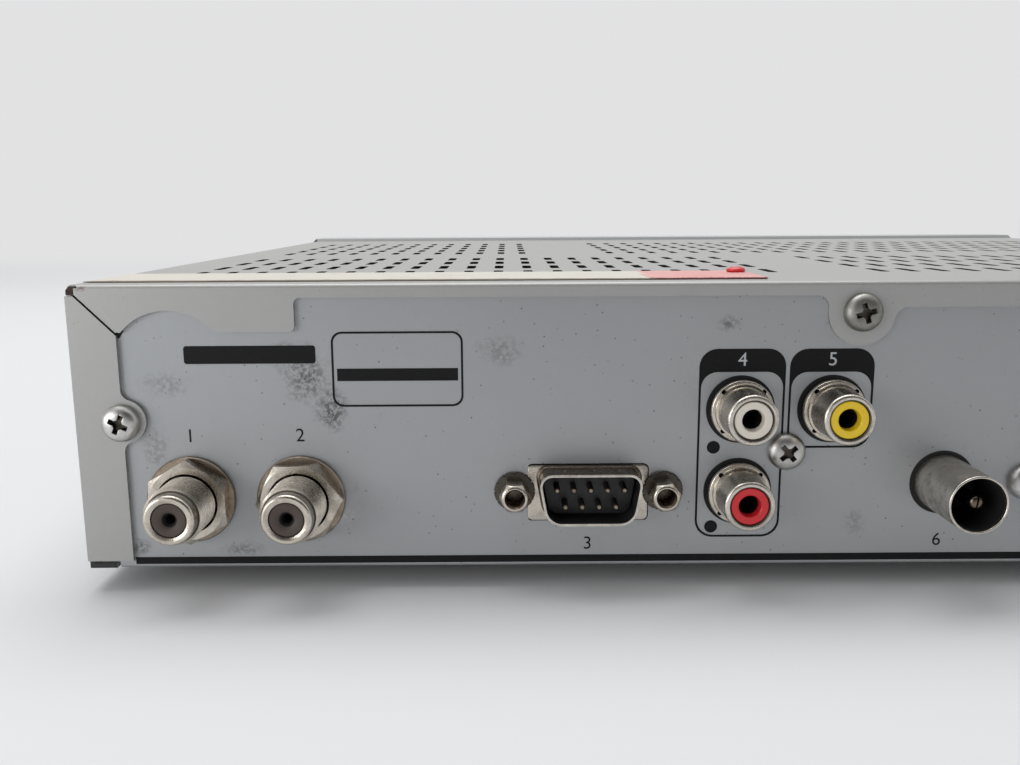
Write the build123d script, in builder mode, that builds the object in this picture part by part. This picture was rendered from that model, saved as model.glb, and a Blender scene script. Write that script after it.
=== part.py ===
from build123d import *
import os
from math import cos, radians, sin

# Satellite television receiver: a folded steel case with a moulded front, its boards and its
# rear connectors. All sizes are millimetres.
#
# Frame: +Z up, the front faces -Y and the rear wall with its connectors faces +Y. The origin is
# at the middle of the footprint, on the surface that the feet stand on. Places on the rear wall
# are given as seen from behind: "across" from the case's left outer edge, "height" above the
# underside of the base.

# ---------------------------------------------------------------- Case
case_width = 260.0
case_height = 48.5
case_depth = 220.0
sheet = 0.8
fold_radius = 1.0
running_gap = 0.3
fit_gap = 0.02
edge_gap = 1.2

foot_height = 4.0
foot_radius = 8.0
foot_side_inset = 24.0
foot_end_inset = 22.0

# ---------------------------------------------------------------- Top cover
flange_top_low = 7.8          # depth of the top flange beside the left mitre
flange_top_mid = 2.25         # depth of the narrow run over the printed area
flange_top_wide = 4.25        # depth of the run to the right of the middle tab
flange_step = 37.0            # across: end of the deep run
flange_side = 7.8             # width of the side flanges
mitre_gap = 0.5
corner_relief = 1.3
scallop_across = 16.3
scallop_radius = 10.2
scallop_rise = 3.6
scallop_blend = 2.5
tab_radius = 5.45
tab_blend = 2.2
side_tab_radius = 3.7
side_tab_shift = 0.7          # screw to the middle of its lobe
side_tab_blend = 1.8
hem_width = 4.6
side_flange_foot = 1.5

# Perforated top: slots run front to rear in columns
slot_width = 2.1
slot_length = 9.3
slot_pitch_across = 5.77
slot_pitch_along = 16.5
slot_first_across = 12.3
slot_side_margin = 19.0       # right edge of the case to the last column at most
near_rows = 4
near_first = 27.5             # rear wall to the middle of the nearest row
near_left_end = 124.0         # across: the first near group ends before this
near_right_across = 141.8     # first column of the second near group
far_rows = 5
far_first = 110.0
far_left_end = 72.0
far_right_across = 98.9

# ---------------------------------------------------------------- Chassis
tray_inset = 5.2              # outside of the case to the tray's side wall
tray_side_height = 18.0
tray_front_height = 14.0
tray_corner = 1.0

# ---------------------------------------------------------------- Pan head screws
screw_head_radius = 2.95
screw_head_height = 2.0
screw_cross_length = 3.2
screw_cross_width = 0.8
screw_cross_depth = 1.2
side_screw_across = 8.7
side_screw_height = 25.9
top_screw_across = 129.6
top_screw_height = 43.4
jack_screw_across = 118.1
jack_screw_height = 20.8
modulator_screw_across = 157.6
modulator_screw_height = 14.7

# ---------------------------------------------------------------- Satellite F connectors
lnb_in_across = 18.3
lnb_out_across = 36.8
lnb_height = 12.3
f_thread_radius = 4.7625
f_shank_radius = 4.5          # plain part under the nut
f_bore_radius = 2.8
f_reach = 12.0
f_tip_radius = 4.1
f_tip_bevel = 0.7
f_hole_clearance = 0.15
f_nut_flange_radius = 7.4
f_nut_flange = 0.9
f_nut_flats = 12.7
f_nut_thickness = 3.2
f_socket_radius = 0.95
f_socket_depth = 7.0
f_insulator_recess = 0.25

# ---------------------------------------------------------------- Nine pin serial connector
serial_across = 85.3
serial_height = 13.3
serial_screw_pitch = 24.99
serial_shell_width = 16.92
serial_shell_height = 8.36
serial_shell_reach = 5.8
serial_shell_wall = 0.5
serial_slope = 10.0
serial_base_width = 19.6
serial_base_height = 9.8
serial_base_reach = 1.0
serial_base_gap = 0.35
serial_corner = 2.4
serial_flange_width = 30.8
serial_flange_height = 12.6
serial_body_depth = 10.0
serial_face = 1.2
serial_pin_radius = 0.5
serial_pin_reach = 5.0
serial_pin_pitch = 2.77
serial_row_pitch = 2.84
serial_long_row = 5
jackscrew_flats = 4.75
jackscrew_reach = 5.0
jackscrew_thread_radius = 1.42
jackscrew_thread_depth = 3.8

# ---------------------------------------------------------------- Sound and picture jacks
audio_across = 110.5
video_across = 125.7
jack_high = 27.2
jack_low = 13.1
jack_reach = 9.0
jack_barrel_radius = 4.15
jack_lip_radius = 0.5
jack_collar_radius = 4.6
jack_collar_reach = 1.9
jack_flange_radius = 5.3
jack_flange_reach = 0.7
jack_panel_radius = 5.7
jack_insulator_radius = 3.05
jack_insulator_recess = 0.25
jack_socket_radius = 1.7
jack_socket_depth = 8.0
jack_block_margin = 1.6       # plastic around the outer jack flanges
jack_block_depth = 11.0
contact_strip_width = 1.6
contact_strip_thickness = 0.4
contact_shift = 4.0           # the lower strip stands beside the upper one

# ---------------------------------------------------------------- Aerial connectors
rf_out_across = 145.1
rf_in_across = 170.1
rf_height = 14.4
rf_out_radius = 4.75
rf_out_bore_radius = 4.3
rf_out_reach = 13.0
rf_out_tip_bevel = 0.35
rf_panel_gap = 0.55
rf_pin_radius = 1.18
rf_pin_recess = 1.3
rf_pin_slit = 0.3
rf_pin_slit_depth = 5.0
rf_insulator_thickness = 3.0
rf_in_radius = 5.6
rf_in_bore_radius = 4.8
rf_in_reach = 9.0
rf_in_contact_radius = 2.1
rf_in_contact_bore_radius = 1.2

# ---------------------------------------------------------------- Mains inlet and rocker switch
inlet_inset = 24.0            # right edge of the case to the inlet's middle
inlet_body_width = 21.0
inlet_body_height = 14.0
inlet_body_depth = 17.0
inlet_reach = 1.0
inlet_pin_pitch = 8.6
inlet_pin_radius = 1.18
inlet_pin_length = 9.0
inlet_well_radius = 3.85
inlet_well_depth = 12.0
inlet_panel_gap = 0.3

switch_pitch = 23.0           # inlet's middle to the switch's middle
switch_height = 20.0
switch_flange_width = 17.0
switch_flange_height = 21.5
switch_flange_reach = 1.5
switch_body_width = 14.0
switch_body_height = 19.2
switch_body_depth = 14.0
switch_cavity_width = 11.2
switch_cavity_height = 16.4
switch_cavity_depth = 10.0
rocker_half_height = 7.0
rocker_crest = 5.2            # pivot to the rocker's two high edges
rocker_valley = 3.9
rocker_heel = -1.5
rocker_back = -3.5
rocker_swing = 20.0
rocker_pivot_depth = 2.5      # pivot axis behind the rear wall's outer face
rocker_stub_radius = 1.2
rocker_stub_clearance = 0.08
rocker_stub_length = 0.9
switch_terminal_length = 5.0
switch_lead_radius = 0.9
switch_lead_pitch = 7.0
terminal_thickness = 0.8
terminal_width = 4.8
lead_run = 8.0

# ---------------------------------------------------------------- Boards
board_thickness = 1.6
standoff_height = 3.8
standoff_flats = 5.5
board_screw_flats = 5.5
board_screw_height = 1.6
board_hole_inset = 5.0
board_rear_gap = 0.6
main_board_start = 8.0        # across
main_board_end = 180.5
main_board_depth = 150.0
board_gap = 3.5
power_board_inset = 8.0       # right edge of the case to the board
power_board_depth = 160.0

tuner_start = 9.0
tuner_end = 46.2
tuner_depth = 58.0
tuner_height = 14.0
can_lid_thickness = 0.6
can_lid_inset = 0.5
modulator_start = 136.5
modulator_end = 178.7
modulator_depth = 44.0
modulator_height = 18.0

decoder_size = 28.0
decoder_thickness = 3.0
decoder_across = 95.0
decoder_from_rear = 78.0
decoder_fin_size = 26.0
decoder_fin_height = 9.0
memory_width = 11.0
memory_length = 18.5
memory_thickness = 1.2

transformer_size = 30.0
transformer_core_width = 10.0
transformer_height = 26.0
transformer_from_rear = 82.0
bulk_radius = 9.0
bulk_height = 30.0
output_radius = 5.0
output_height = 16.0
heat_sink_end_gap = 12.0      # board's edge to the heat sink
heat_sink_height = 26.0
heat_sink_base = 3.0
heat_sink_fin = 1.6
heat_sink_fins = 5
heat_sink_depth = 16.0
fuse_radius = 2.6
fuse_length = 20.0
fuse_cap_length = 5.0
fuse_inset = 14.0             # board's left edge to the fuse
fuse_from_rear = 48.0
fuse_lift = 2.0
winding_lift = 3.0
bulk_inset = 13.0             # board's right edge to the large capacitor's middle
bulk_from_rear = 48.0
output_from_rear = 128.0
heat_sink_from_rear = 109.0
header_edge = 6.0
harness_width = 12.0
harness_rise = 6.0
harness_from_rear = 112.0

# ---------------------------------------------------------------- Moulded front
bezel_depth = 16.0
bezel_overhang = 1.0
bezel_wall = 2.2
bezel_side_radius = 4.0
bezel_edge_bevel = 1.4
window_width = 96.0
window_height = 22.0
window_middle = 26.0
window_corner = 2.0
window_clearance = 0.15
window_flange = 3.0
window_flange_thickness = 1.0
window_recess = 0.3
frame_recess = 0.7
frame_margin = 6.0

front_board_gap = 11.0        # bezel wall to the front board
front_board_end_gap = 14.0    # side of the case to the end of the front board
front_board_height = 33.0
boss_width = 4.0
boss_inset = 10.0
boss_rise = 10.0
controls_middle = 26.0

button_travel = 1.0
button_proud = 0.8
button_lip = 1.2
button_lip_thickness = 1.2
button_stem = 2.9
standby_inset = 36.0          # side of the case to the button's middle
standby_radius = 6.0
channel_width = 14.0
channel_height = 7.0
channel_inset = 40.0
channel_pitch = 20.0
switch_size = 6.2
switch_thickness = 4.3
switch_hole = 3.6
switch_hole_spare = 1.0
stem_engagement = 1.0

lamp_pitch = 18.0             # standby button's middle to the lamp's middle
pipe_width = 6.0
pipe_height = 2.0
lamp_height = 5.0
digits_width = 50.0
digits_height = 17.0
digits_thickness = 8.0
digits_shift = 12.0
receiver_across = 38.0
receiver_width = 6.0
receiver_height = 7.0
receiver_thickness = 4.0
receiver_dome_radius = 2.4

ribbon_width = 24.0
ribbon_thickness = 0.9
ribbon_across = 20.0
ribbon_rise = 6.0
connector_height = 6.0
connector_depth = 5.0

# ---------------------------------------------------------------- Worked out places
base_z = foot_height
top_z = base_z + case_height
rear_y = (case_depth + button_proud - rf_out_reach) / 2
inner_rear_y = rear_y - sheet
front_y = rear_y - case_depth
seam_y = front_y + bezel_depth
cover_depth = rear_y - seam_y
board_z = base_z + sheet + standoff_height
board_top = board_z + board_thickness
board_rear_y = inner_rear_y - board_rear_gap
bezel_inner_y = front_y + bezel_wall
front_board_y = bezel_inner_y + front_board_gap
inlet_height = board_top - base_z + inlet_body_height / 2
mirror_across = case_width - side_screw_across
inlet_across = case_width - inlet_inset
switch_across = inlet_across - switch_pitch
power_board_start = main_board_end + board_gap
power_board_end = case_width - power_board_inset
power_across = (power_board_start + power_board_end) / 2
front_board_width = case_width - 2 * front_board_end_gap
boss_across = front_board_width / 2 - boss_inset
standby_across = standby_inset - case_width / 2
lamp_across = standby_across + lamp_pitch
channel_up_across = case_width / 2 - channel_inset
channel_down_across = channel_up_across - channel_pitch


def rear_seat(across, height, out=0.0):
    """Plane on the rear wall's outer face: x to the right as seen from behind, y up, z outwards."""
    return Plane(
        origin=(case_width / 2 - across, rear_y + out, base_z + height),
        x_dir=(-1, 0, 0),
        z_dir=(0, 1, 0),
    )


def front_seat(x, height, y):
    """Plane facing the front: x to the right as seen from the front, y up, z towards the viewer."""
    return Plane(origin=(x, y, base_z + height), x_dir=(1, 0, 0), z_dir=(0, -1, 0))


def floor_seat(across, from_rear, z):
    """Horizontal plane at a place given from the case's left edge and the rear wall."""
    return Plane.XY.offset(z).move(Location((case_width / 2 - across, rear_y - from_rear, 0)))


front_board_face = front_seat(0, controls_middle, front_board_y)
boss_places = [(side * boss_across, rise) for side in (-1, 1) for rise in (-boss_rise, boss_rise)]


def keep(piece, name):
    """Labels a finished piece and writes it to its own file."""
    piece.part.label = name
    export_step(piece.part, f"parts/{name}.step")


os.makedirs("parts", exist_ok=True)

# ================================================================ Shared forms
# Each form stands on the XY plane and points up +Z, and is seated where it belongs later.

with BuildPart() as pan_screw:
    Cylinder(screw_head_radius, screw_head_height, align=(Align.CENTER, Align.CENTER, Align.MIN))
    chamfer(pan_screw.edges().group_by(Axis.Z)[-1], screw_head_height * 0.35)
    with Locations((0, 0, screw_head_height)):
        Box(screw_cross_length, screw_cross_width, 2 * screw_cross_depth, mode=Mode.SUBTRACT)
        Box(screw_cross_width, screw_cross_length, 2 * screw_cross_depth, mode=Mode.SUBTRACT)

# ================================================================ Feet
foot_places = [
    (side * (case_width / 2 - foot_side_inset), end)
    for side in (-1, 1)
    for end in (seam_y + foot_end_inset, rear_y - foot_end_inset)
]
with BuildPart() as feet:
    with BuildSketch():
        with Locations(*foot_places):
            Circle(foot_radius)
    extrude(amount=foot_height)
keep(feet, "feet")

# ================================================================ Chassis
tray_left = case_width / 2 - tray_inset
wall_half = case_width / 2 - edge_gap
standoff_places = [
    (case_width / 2 - across, rear_y - from_rear)
    for start, end, depth in (
        (main_board_start, main_board_end, main_board_depth),
        (power_board_start, power_board_end, power_board_depth),
    )
    for across in (start + board_hole_inset, end - board_hole_inset)
    for from_rear in (tuner_depth + 2 * board_hole_inset, depth - board_hole_inset)
]

with BuildPart() as chassis:
    # base, with low walls folded up at both sides and at the front
    with BuildSketch(Plane.XY.offset(base_z)):
        with Locations((0, (seam_y + rear_y) / 2)):
            Rectangle(2 * tray_left, cover_depth)
    extrude(amount=sheet)
    for side in (-1, 1):
        with BuildSketch(Plane.XY.offset(base_z)):
            with Locations((side * (tray_left - sheet / 2), (seam_y + rear_y) / 2)):
                Rectangle(sheet, cover_depth)
        extrude(amount=tray_side_height)
    with BuildSketch(Plane.XY.offset(base_z)):
        with Locations((0, seam_y + sheet / 2)):
            Rectangle(2 * tray_left, sheet)
    extrude(amount=tray_front_height)
    # rear wall: wider than the tray above the cover's hem, where the side flanges screw to it
    with BuildSketch(rear_seat(case_width / 2, 0)):
        with BuildLine():
            Polyline(
                (-tray_left, tray_corner),
                (-tray_left + tray_corner, 0),
                (tray_left - tray_corner, 0),
                (tray_left, tray_corner),
                (tray_left, side_flange_foot),
                (wall_half, side_flange_foot),
                (wall_half, case_height - sheet - running_gap),
                (-wall_half, case_height - sheet - running_gap),
                (-wall_half, side_flange_foot),
                (-tray_left, side_flange_foot),
                close=True,
            )
        make_face()
    extrude(amount=-sheet)
    fillet(
        chassis.edges().filter_by(Axis.X).group_by(Axis.Z)[0].sort_by(Axis.Y)[-1],
        sheet * 0.7,
    )
    # round holes in the rear wall
    for across, height, radius in (
        (lnb_in_across, lnb_height, f_thread_radius + f_hole_clearance),
        (lnb_out_across, lnb_height, f_thread_radius + f_hole_clearance),
        (audio_across, jack_high, jack_panel_radius),
        (audio_across, jack_low, jack_panel_radius),
        (video_across, jack_high, jack_panel_radius),
        (rf_out_across, rf_height, rf_out_radius + rf_panel_gap),
        (rf_in_across, rf_height, rf_in_radius + rf_panel_gap),
    ):
        with BuildSketch(rear_seat(across, height)):
            Circle(radius)
        extrude(amount=-sheet, mode=Mode.SUBTRACT)
    # rectangular windows for the serial connector, the mains inlet and the mains switch
    for across, height, width, tall in (
        (
            serial_across,
            serial_height,
            serial_base_width + 2 * serial_base_gap,
            serial_base_height + 2 * serial_base_gap,
        ),
        (
            inlet_across,
            inlet_height,
            inlet_body_width + 2 * inlet_panel_gap,
            inlet_body_height + 2 * inlet_panel_gap,
        ),
        (
            switch_across,
            switch_height,
            switch_body_width + 2 * inlet_panel_gap,
            switch_body_height + 2 * inlet_panel_gap,
        ),
    ):
        with BuildSketch(rear_seat(across, height)):
            Rectangle(width, tall)
        extrude(amount=-sheet, mode=Mode.SUBTRACT)
keep(chassis, "chassis")

# ================================================================ Top cover
def slot_columns(first_across, end):
    """Across places of a run of slot columns that stops before its end."""
    count = int((end - first_across) / slot_pitch_across) + 1
    return [first_across + slot_pitch_across * step for step in range(count)]


def slot_places(columns, first, rows):
    """Middles of the slots, on the cover's own plane."""
    return [
        (case_width / 2 - across, rear_y - first - slot_pitch_along * row)
        for across in columns
        for row in range(rows)
    ]


slots_end = case_width - slot_side_margin
near_columns = slot_columns(slot_first_across, near_left_end) + slot_columns(near_right_across, slots_end)
far_columns = slot_columns(slot_first_across, far_left_end) + slot_columns(far_right_across, slots_end)
slots = slot_places(near_columns, near_first, near_rows) + slot_places(far_columns, far_first, far_rows)

with BuildPart() as top_cover:
    # folded skin: two sides and the top, with a short hem turned in at the bottom of each side
    with BuildSketch(Plane.XZ.offset(-seam_y)):
        with Locations((0, base_z)):
            Rectangle(case_width, case_height, align=(Align.CENTER, Align.MIN))
        fillet(vertices().group_by(Axis.Y)[-1], fold_radius)
        with Locations((0, base_z + sheet)):
            Rectangle(
                case_width - 2 * sheet,
                case_height - 2 * sheet,
                align=(Align.CENTER, Align.MIN),
                mode=Mode.SUBTRACT,
            )
        with Locations((0, base_z)):
            Rectangle(
                case_width - 2 * hem_width,
                sheet,
                align=(Align.CENTER, Align.MIN),
                mode=Mode.SUBTRACT,
            )
    extrude(amount=-cover_depth)
    # top flange, folded down over the rear wall
    with BuildSketch(rear_seat(0, case_height)):
        mitre_foot = flange_top_low + mitre_gap
        with BuildLine():
            Polyline(
                (corner_relief + mitre_gap, 0),
                (mitre_foot, -flange_top_low),
                (flange_step, -flange_top_low),
                (flange_step, -flange_top_mid),
                (top_screw_across, -flange_top_mid),
                (top_screw_across, -flange_top_wide),
                (case_width - corner_relief - mitre_gap - flange_top_wide, -flange_top_wide),
                (case_width - corner_relief - mitre_gap, 0),
                (corner_relief + mitre_gap, 0),
            )
        make_face()
        fillet(
            vertices().filter_by(lambda v: abs(v.X - flange_step) < fold_radius),
            fold_radius,
        )
        with Locations((scallop_across, -flange_top_low + scallop_rise - scallop_radius)):
            Circle(scallop_radius, mode=Mode.SUBTRACT)
        fillet(
            vertices().filter_by(
                lambda v: scallop_across < v.X < flange_step - fold_radius - fit_gap and v.Y < -flange_top_mid
            ),
            scallop_blend,
        )
        with Locations((top_screw_across, top_screw_height - case_height)):
            Circle(tab_radius)
        fillet(
            vertices().filter_by(lambda v: tab_radius / 2 < abs(v.X - top_screw_across) < 2 * tab_radius),
            tab_blend,
        )
        with Locations((top_screw_across, tab_radius)):
            Rectangle(2 * tab_radius, 2 * tab_radius, mode=Mode.SUBTRACT)
    extrude(amount=sheet)
    # side flanges, each with a lobe for its screw
    for side in (0, 1):
        with BuildSketch(rear_seat(side * case_width, 0)) as side_flange:
            toward = 1 - 2 * side
            with BuildLine():
                Polyline(
                    (0, side_flange_foot),
                    (toward * flange_side, side_flange_foot),
                    (toward * flange_side, case_height - flange_side - mitre_gap),
                    (toward * corner_relief, case_height - corner_relief - mitre_gap),
                    (0, case_height - corner_relief - mitre_gap),
                    close=True,
                )
            make_face()
            with Locations((toward * (side_screw_across - side_tab_shift), side_screw_height)):
                Circle(side_tab_radius)
            fillet(
                vertices().filter_by(lambda v: abs(v.Y - side_screw_height) < side_tab_radius),
                side_tab_blend,
            )
        extrude(amount=sheet)
    # the folds along the rear are rounded outside
    fillet(
        top_cover.edges()
        .filter_by(Axis.X)
        .filter_by_position(Axis.Z, top_z - 0.01, top_z + 0.01)
        .sort_by(Axis.Y)[-1],
        sheet * 0.9,
    )
    # perforations
    with BuildSketch(Plane.XY.offset(top_z)):
        with Locations(*slots):
            Rectangle(slot_width, slot_length)
    extrude(amount=-sheet, mode=Mode.SUBTRACT)
keep(top_cover, "top_cover")

# Three screws hold the cover's flanges, two hold the connector blocks: all alike.
with BuildPart() as rear_screws:
    with Locations(
        rear_seat(side_screw_across, side_screw_height, sheet),
        rear_seat(mirror_across, side_screw_height, sheet),
        rear_seat(top_screw_across, top_screw_height, sheet),
        rear_seat(jack_screw_across, jack_screw_height),
        rear_seat(modulator_screw_across, modulator_screw_height),
    ):
        add(pan_screw.part)
keep(rear_screws, "rear_screws")

# ================================================================ Satellite connectors
with BuildPart() as f_barrel:
    with BuildSketch(Plane.XZ):
        with BuildLine():
            Polyline(
                (f_bore_radius, -sheet),
                (f_shank_radius, -sheet),
                (f_shank_radius, f_nut_thickness),
                (f_thread_radius, f_nut_thickness),
                (f_thread_radius, f_reach - f_tip_bevel),
                (f_tip_radius, f_reach),
                (f_bore_radius, f_reach),
                close=True,
            )
        make_face()
    revolve(axis=Axis.Z)

lnb_seats = [rear_seat(across, lnb_height) for across in (lnb_in_across, lnb_out_across)]
for seat, name in zip(lnb_seats, ("lnb_in_barrel", "lnb_out_barrel")):
    with BuildPart() as lnb_barrel:
        with Locations(seat):
            add(f_barrel.part)
    keep(lnb_barrel, name)

with BuildPart() as lnb_insulators:
    for seat in lnb_seats:
        with BuildSketch(seat.offset(-sheet)):
            Circle(f_bore_radius - fit_gap)
        extrude(amount=sheet + f_reach - f_insulator_recess)
        with BuildSketch(seat.offset(f_reach - f_insulator_recess)):
            Circle(f_socket_radius)
        extrude(amount=-f_socket_depth, mode=Mode.SUBTRACT)
keep(lnb_insulators, "lnb_insulators")

# Each barrel is held by a thin nut with a round flange.
with BuildPart() as lnb_nuts:
    for seat, turn in zip(lnb_seats, (30, 0)):
        with BuildSketch(seat):
            Circle(f_nut_flange_radius)
        extrude(amount=f_nut_flange)
        with BuildSketch(seat.offset(f_nut_flange)):
            RegularPolygon(f_nut_flats / 2, 6, major_radius=False, rotation=turn)
        extrude(amount=f_nut_thickness - f_nut_flange)
        with BuildSketch(seat):
            Circle(f_shank_radius + f_hole_clearance)
        extrude(amount=f_nut_thickness, mode=Mode.SUBTRACT)
keep(lnb_nuts, "lnb_nuts")


def shielded_can(start, end, depth, height):
    """Closed sheet metal can that stands on the main board against the rear wall, with a raised lid."""
    middle = rear_seat((start + end) / 2, board_top - base_z, -sheet)
    with BuildPart() as can:
        with BuildSketch(middle):
            Rectangle(end - start, height, align=(Align.CENTER, Align.MIN))
        extrude(amount=-depth)
        with BuildSketch(Plane.XY.offset(board_top + height)):
            with Locations((case_width / 2 - (start + end) / 2, inner_rear_y - depth / 2)):
                Rectangle(end - start - 2 * can_lid_inset, depth - 2 * can_lid_inset)
        extrude(amount=can_lid_thickness)
    return can


tuner_can = shielded_can(tuner_start, tuner_end, tuner_depth, tuner_height)
keep(tuner_can, "tuner_can")

# ================================================================ Serial connector
serial_seat = rear_seat(serial_across, serial_height)
serial_floor = board_top - base_z - serial_height
serial_roof = serial_flange_height / 2


def d_outline(shrink=0.0):
    """The connector's D outline in the current sketch, wide side up, smaller all round by shrink."""
    Trapezoid(
        serial_shell_width - 2 * shrink,
        serial_shell_height - 2 * shrink,
        90 - serial_slope,
        rotation=180,
    )
    fillet(vertices(), serial_corner - shrink)


with BuildPart() as serial_shell:
    with BuildSketch(serial_seat.offset(-sheet)):
        Rectangle(serial_flange_width, serial_flange_height)
    extrude(amount=-sheet)
    with BuildSketch(serial_seat.offset(-sheet)):
        Rectangle(serial_base_width, serial_base_height)
    extrude(amount=sheet + serial_base_reach)
    with BuildSketch(serial_seat):
        d_outline()
    extrude(amount=serial_shell_reach)
    with BuildSketch(serial_seat.offset(serial_shell_reach)):
        d_outline(serial_shell_wall)
    extrude(amount=-serial_shell_reach - 2 * sheet, mode=Mode.SUBTRACT)
keep(serial_shell, "serial_shell")

with BuildPart() as serial_housing:
    with BuildSketch(serial_seat.offset(-2 * sheet)):
        with Locations((0, (serial_floor + serial_roof) / 2)):
            Rectangle(serial_flange_width, serial_roof - serial_floor)
    extrude(amount=-serial_body_depth)
    with BuildSketch(serial_seat.offset(-2 * sheet)):
        d_outline(serial_shell_wall + fit_gap)
    extrude(amount=2 * sheet + serial_face)
keep(serial_housing, "serial_housing")

# Nine pins with eight flats and pointed tips: five above four.
with BuildPart() as serial_pins:
    with BuildSketch(serial_seat.offset(serial_face)):
        with Locations((0, serial_row_pitch / 2)):
            with GridLocations(serial_pin_pitch, 0, serial_long_row, 1):
                RegularPolygon(serial_pin_radius, 8)
        with Locations((0, -serial_row_pitch / 2)):
            with GridLocations(serial_pin_pitch, 0, serial_long_row - 1, 1):
                RegularPolygon(serial_pin_radius, 8)
    extrude(amount=serial_pin_reach - serial_face)
    chamfer(serial_pins.edges().group_by(Axis.Y)[-1], serial_pin_radius / 2)
keep(serial_pins, "serial_pins")

with BuildPart() as serial_jackscrews:
    with BuildSketch(serial_seat):
        with GridLocations(serial_screw_pitch, 0, 2, 1):
            RegularPolygon(jackscrew_flats / 2, 6, major_radius=False, rotation=30)
    extrude(amount=jackscrew_reach)
    with BuildSketch(serial_seat.offset(jackscrew_reach)):
        with GridLocations(serial_screw_pitch, 0, 2, 1):
            Circle(jackscrew_thread_radius)
    extrude(amount=-jackscrew_thread_depth, mode=Mode.SUBTRACT)
keep(serial_jackscrews, "serial_jackscrews")

# ================================================================ Sound and picture jacks
with BuildPart() as pin_jack:
    with BuildSketch(Plane.XZ):
        with BuildLine():
            Polyline(
                (jack_insulator_radius, -sheet),
                (jack_flange_radius, -sheet),
                (jack_flange_radius, jack_flange_reach),
                (jack_collar_radius, jack_flange_reach),
                (jack_barrel_radius, jack_collar_reach),
                (jack_barrel_radius, jack_reach - jack_lip_radius),
                (jack_barrel_radius - jack_lip_radius, jack_reach),
                (jack_insulator_radius, jack_reach),
                close=True,
            )
        make_face()
    revolve(axis=Axis.Z)

with BuildPart() as pin_jack_insulator:
    with Locations((0, 0, -sheet)):
        Cylinder(
            jack_insulator_radius - fit_gap,
            sheet + jack_reach - jack_insulator_recess,
            align=(Align.CENTER, Align.CENTER, Align.MIN),
        )
    with Locations((0, 0, jack_reach - jack_insulator_recess)):
        Cylinder(
            jack_socket_radius,
            jack_socket_depth,
            align=(Align.CENTER, Align.CENTER, Align.MAX),
            mode=Mode.SUBTRACT,
        )

for name, across, height in (
    ("audio_left", audio_across, jack_high),
    ("audio_right", audio_across, jack_low),
    ("video", video_across, jack_high),
):
    with BuildPart() as jack_shell:
        with Locations(rear_seat(across, height)):
            add(pin_jack.part)
    keep(jack_shell, name + "_shell")
    with BuildPart() as jack_insulator:
        with Locations(rear_seat(across, height)):
            add(pin_jack_insulator.part)
    keep(jack_insulator, name + "_insulator")

block_start = audio_across - jack_flange_radius - jack_block_margin
block_end = video_across + jack_flange_radius + jack_block_margin
block_top = jack_high + jack_flange_radius + jack_block_margin
with BuildPart() as jack_block:
    with BuildSketch(rear_seat((block_start + block_end) / 2, board_top - base_z, -sheet)):
        Rectangle(
            block_end - block_start,
            block_top + base_z - board_top,
            align=(Align.CENTER, Align.MIN),
        )
    extrude(amount=-jack_block_depth)
keep(jack_block, "jack_block")

with BuildPart() as jack_contacts:
    for across, height in (
        (audio_across, jack_high),
        (audio_across + contact_shift, jack_low),
        (video_across, jack_high),
    ):
        with BuildSketch(rear_seat(across, board_top - base_z, -sheet - jack_block_depth)):
            Rectangle(
                contact_strip_width,
                height + base_z - board_top,
                align=(Align.CENTER, Align.MIN),
            )
        extrude(amount=-contact_strip_thickness)
keep(jack_contacts, "jack_contacts")

# ================================================================ Aerial connectors
modulator_can = shielded_can(modulator_start, modulator_end, modulator_depth, modulator_height)
keep(modulator_can, "modulator_can")

rf_out_seat = rear_seat(rf_out_across, rf_height)
rf_in_seat = rear_seat(rf_in_across, rf_height)

with BuildPart() as rf_out_barrel:
    with BuildSketch(rf_out_seat.offset(-sheet)):
        Circle(rf_out_radius)
    extrude(amount=sheet + rf_out_reach)
    chamfer(rf_out_barrel.edges().group_by(Axis.Y)[-1], rf_out_tip_bevel)
    with BuildSketch(rf_out_seat.offset(-sheet)):
        Circle(rf_out_bore_radius)
    extrude(amount=sheet + rf_out_reach, mode=Mode.SUBTRACT)
keep(rf_out_barrel, "rf_out_barrel")

with BuildPart() as rf_insulators:
    for seat, bore in ((rf_out_seat, rf_out_bore_radius), (rf_in_seat, rf_in_bore_radius)):
        with BuildSketch(seat.offset(-sheet)):
            Circle(bore - fit_gap)
        extrude(amount=rf_insulator_thickness)
keep(rf_insulators, "rf_insulators")

with BuildPart() as rf_out_pin:
    with BuildSketch(rf_out_seat.offset(rf_insulator_thickness - sheet)):
        Circle(rf_pin_radius)
    extrude(amount=sheet + rf_out_reach - rf_pin_recess - rf_insulator_thickness)
    with BuildSketch(rf_out_seat.offset(rf_out_reach - rf_pin_recess)):
        Rectangle(rf_pin_slit, 3 * rf_pin_radius)
    extrude(amount=-rf_pin_slit_depth, mode=Mode.SUBTRACT)
keep(rf_out_pin, "rf_out_pin")

with BuildPart() as rf_in_barrel:
    with BuildSketch(rf_in_seat.offset(-sheet)):
        Circle(rf_in_radius)
    extrude(amount=sheet + rf_in_reach)
    with BuildSketch(rf_in_seat.offset(-sheet)):
        Circle(rf_in_bore_radius)
    extrude(amount=sheet + rf_in_reach, mode=Mode.SUBTRACT)
keep(rf_in_barrel, "rf_in_barrel")

with BuildPart() as rf_in_contact:
    with BuildSketch(rf_in_seat.offset(rf_insulator_thickness - sheet)):
        Circle(rf_in_contact_radius)
    extrude(amount=sheet + rf_in_reach - rf_pin_recess - rf_insulator_thickness)
    with BuildSketch(rf_in_seat.offset(rf_in_reach - rf_pin_recess)):
        Circle(rf_in_contact_bore_radius)
    extrude(amount=rf_insulator_thickness - rf_in_reach, mode=Mode.SUBTRACT)
keep(rf_in_contact, "rf_in_contact")

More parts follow.
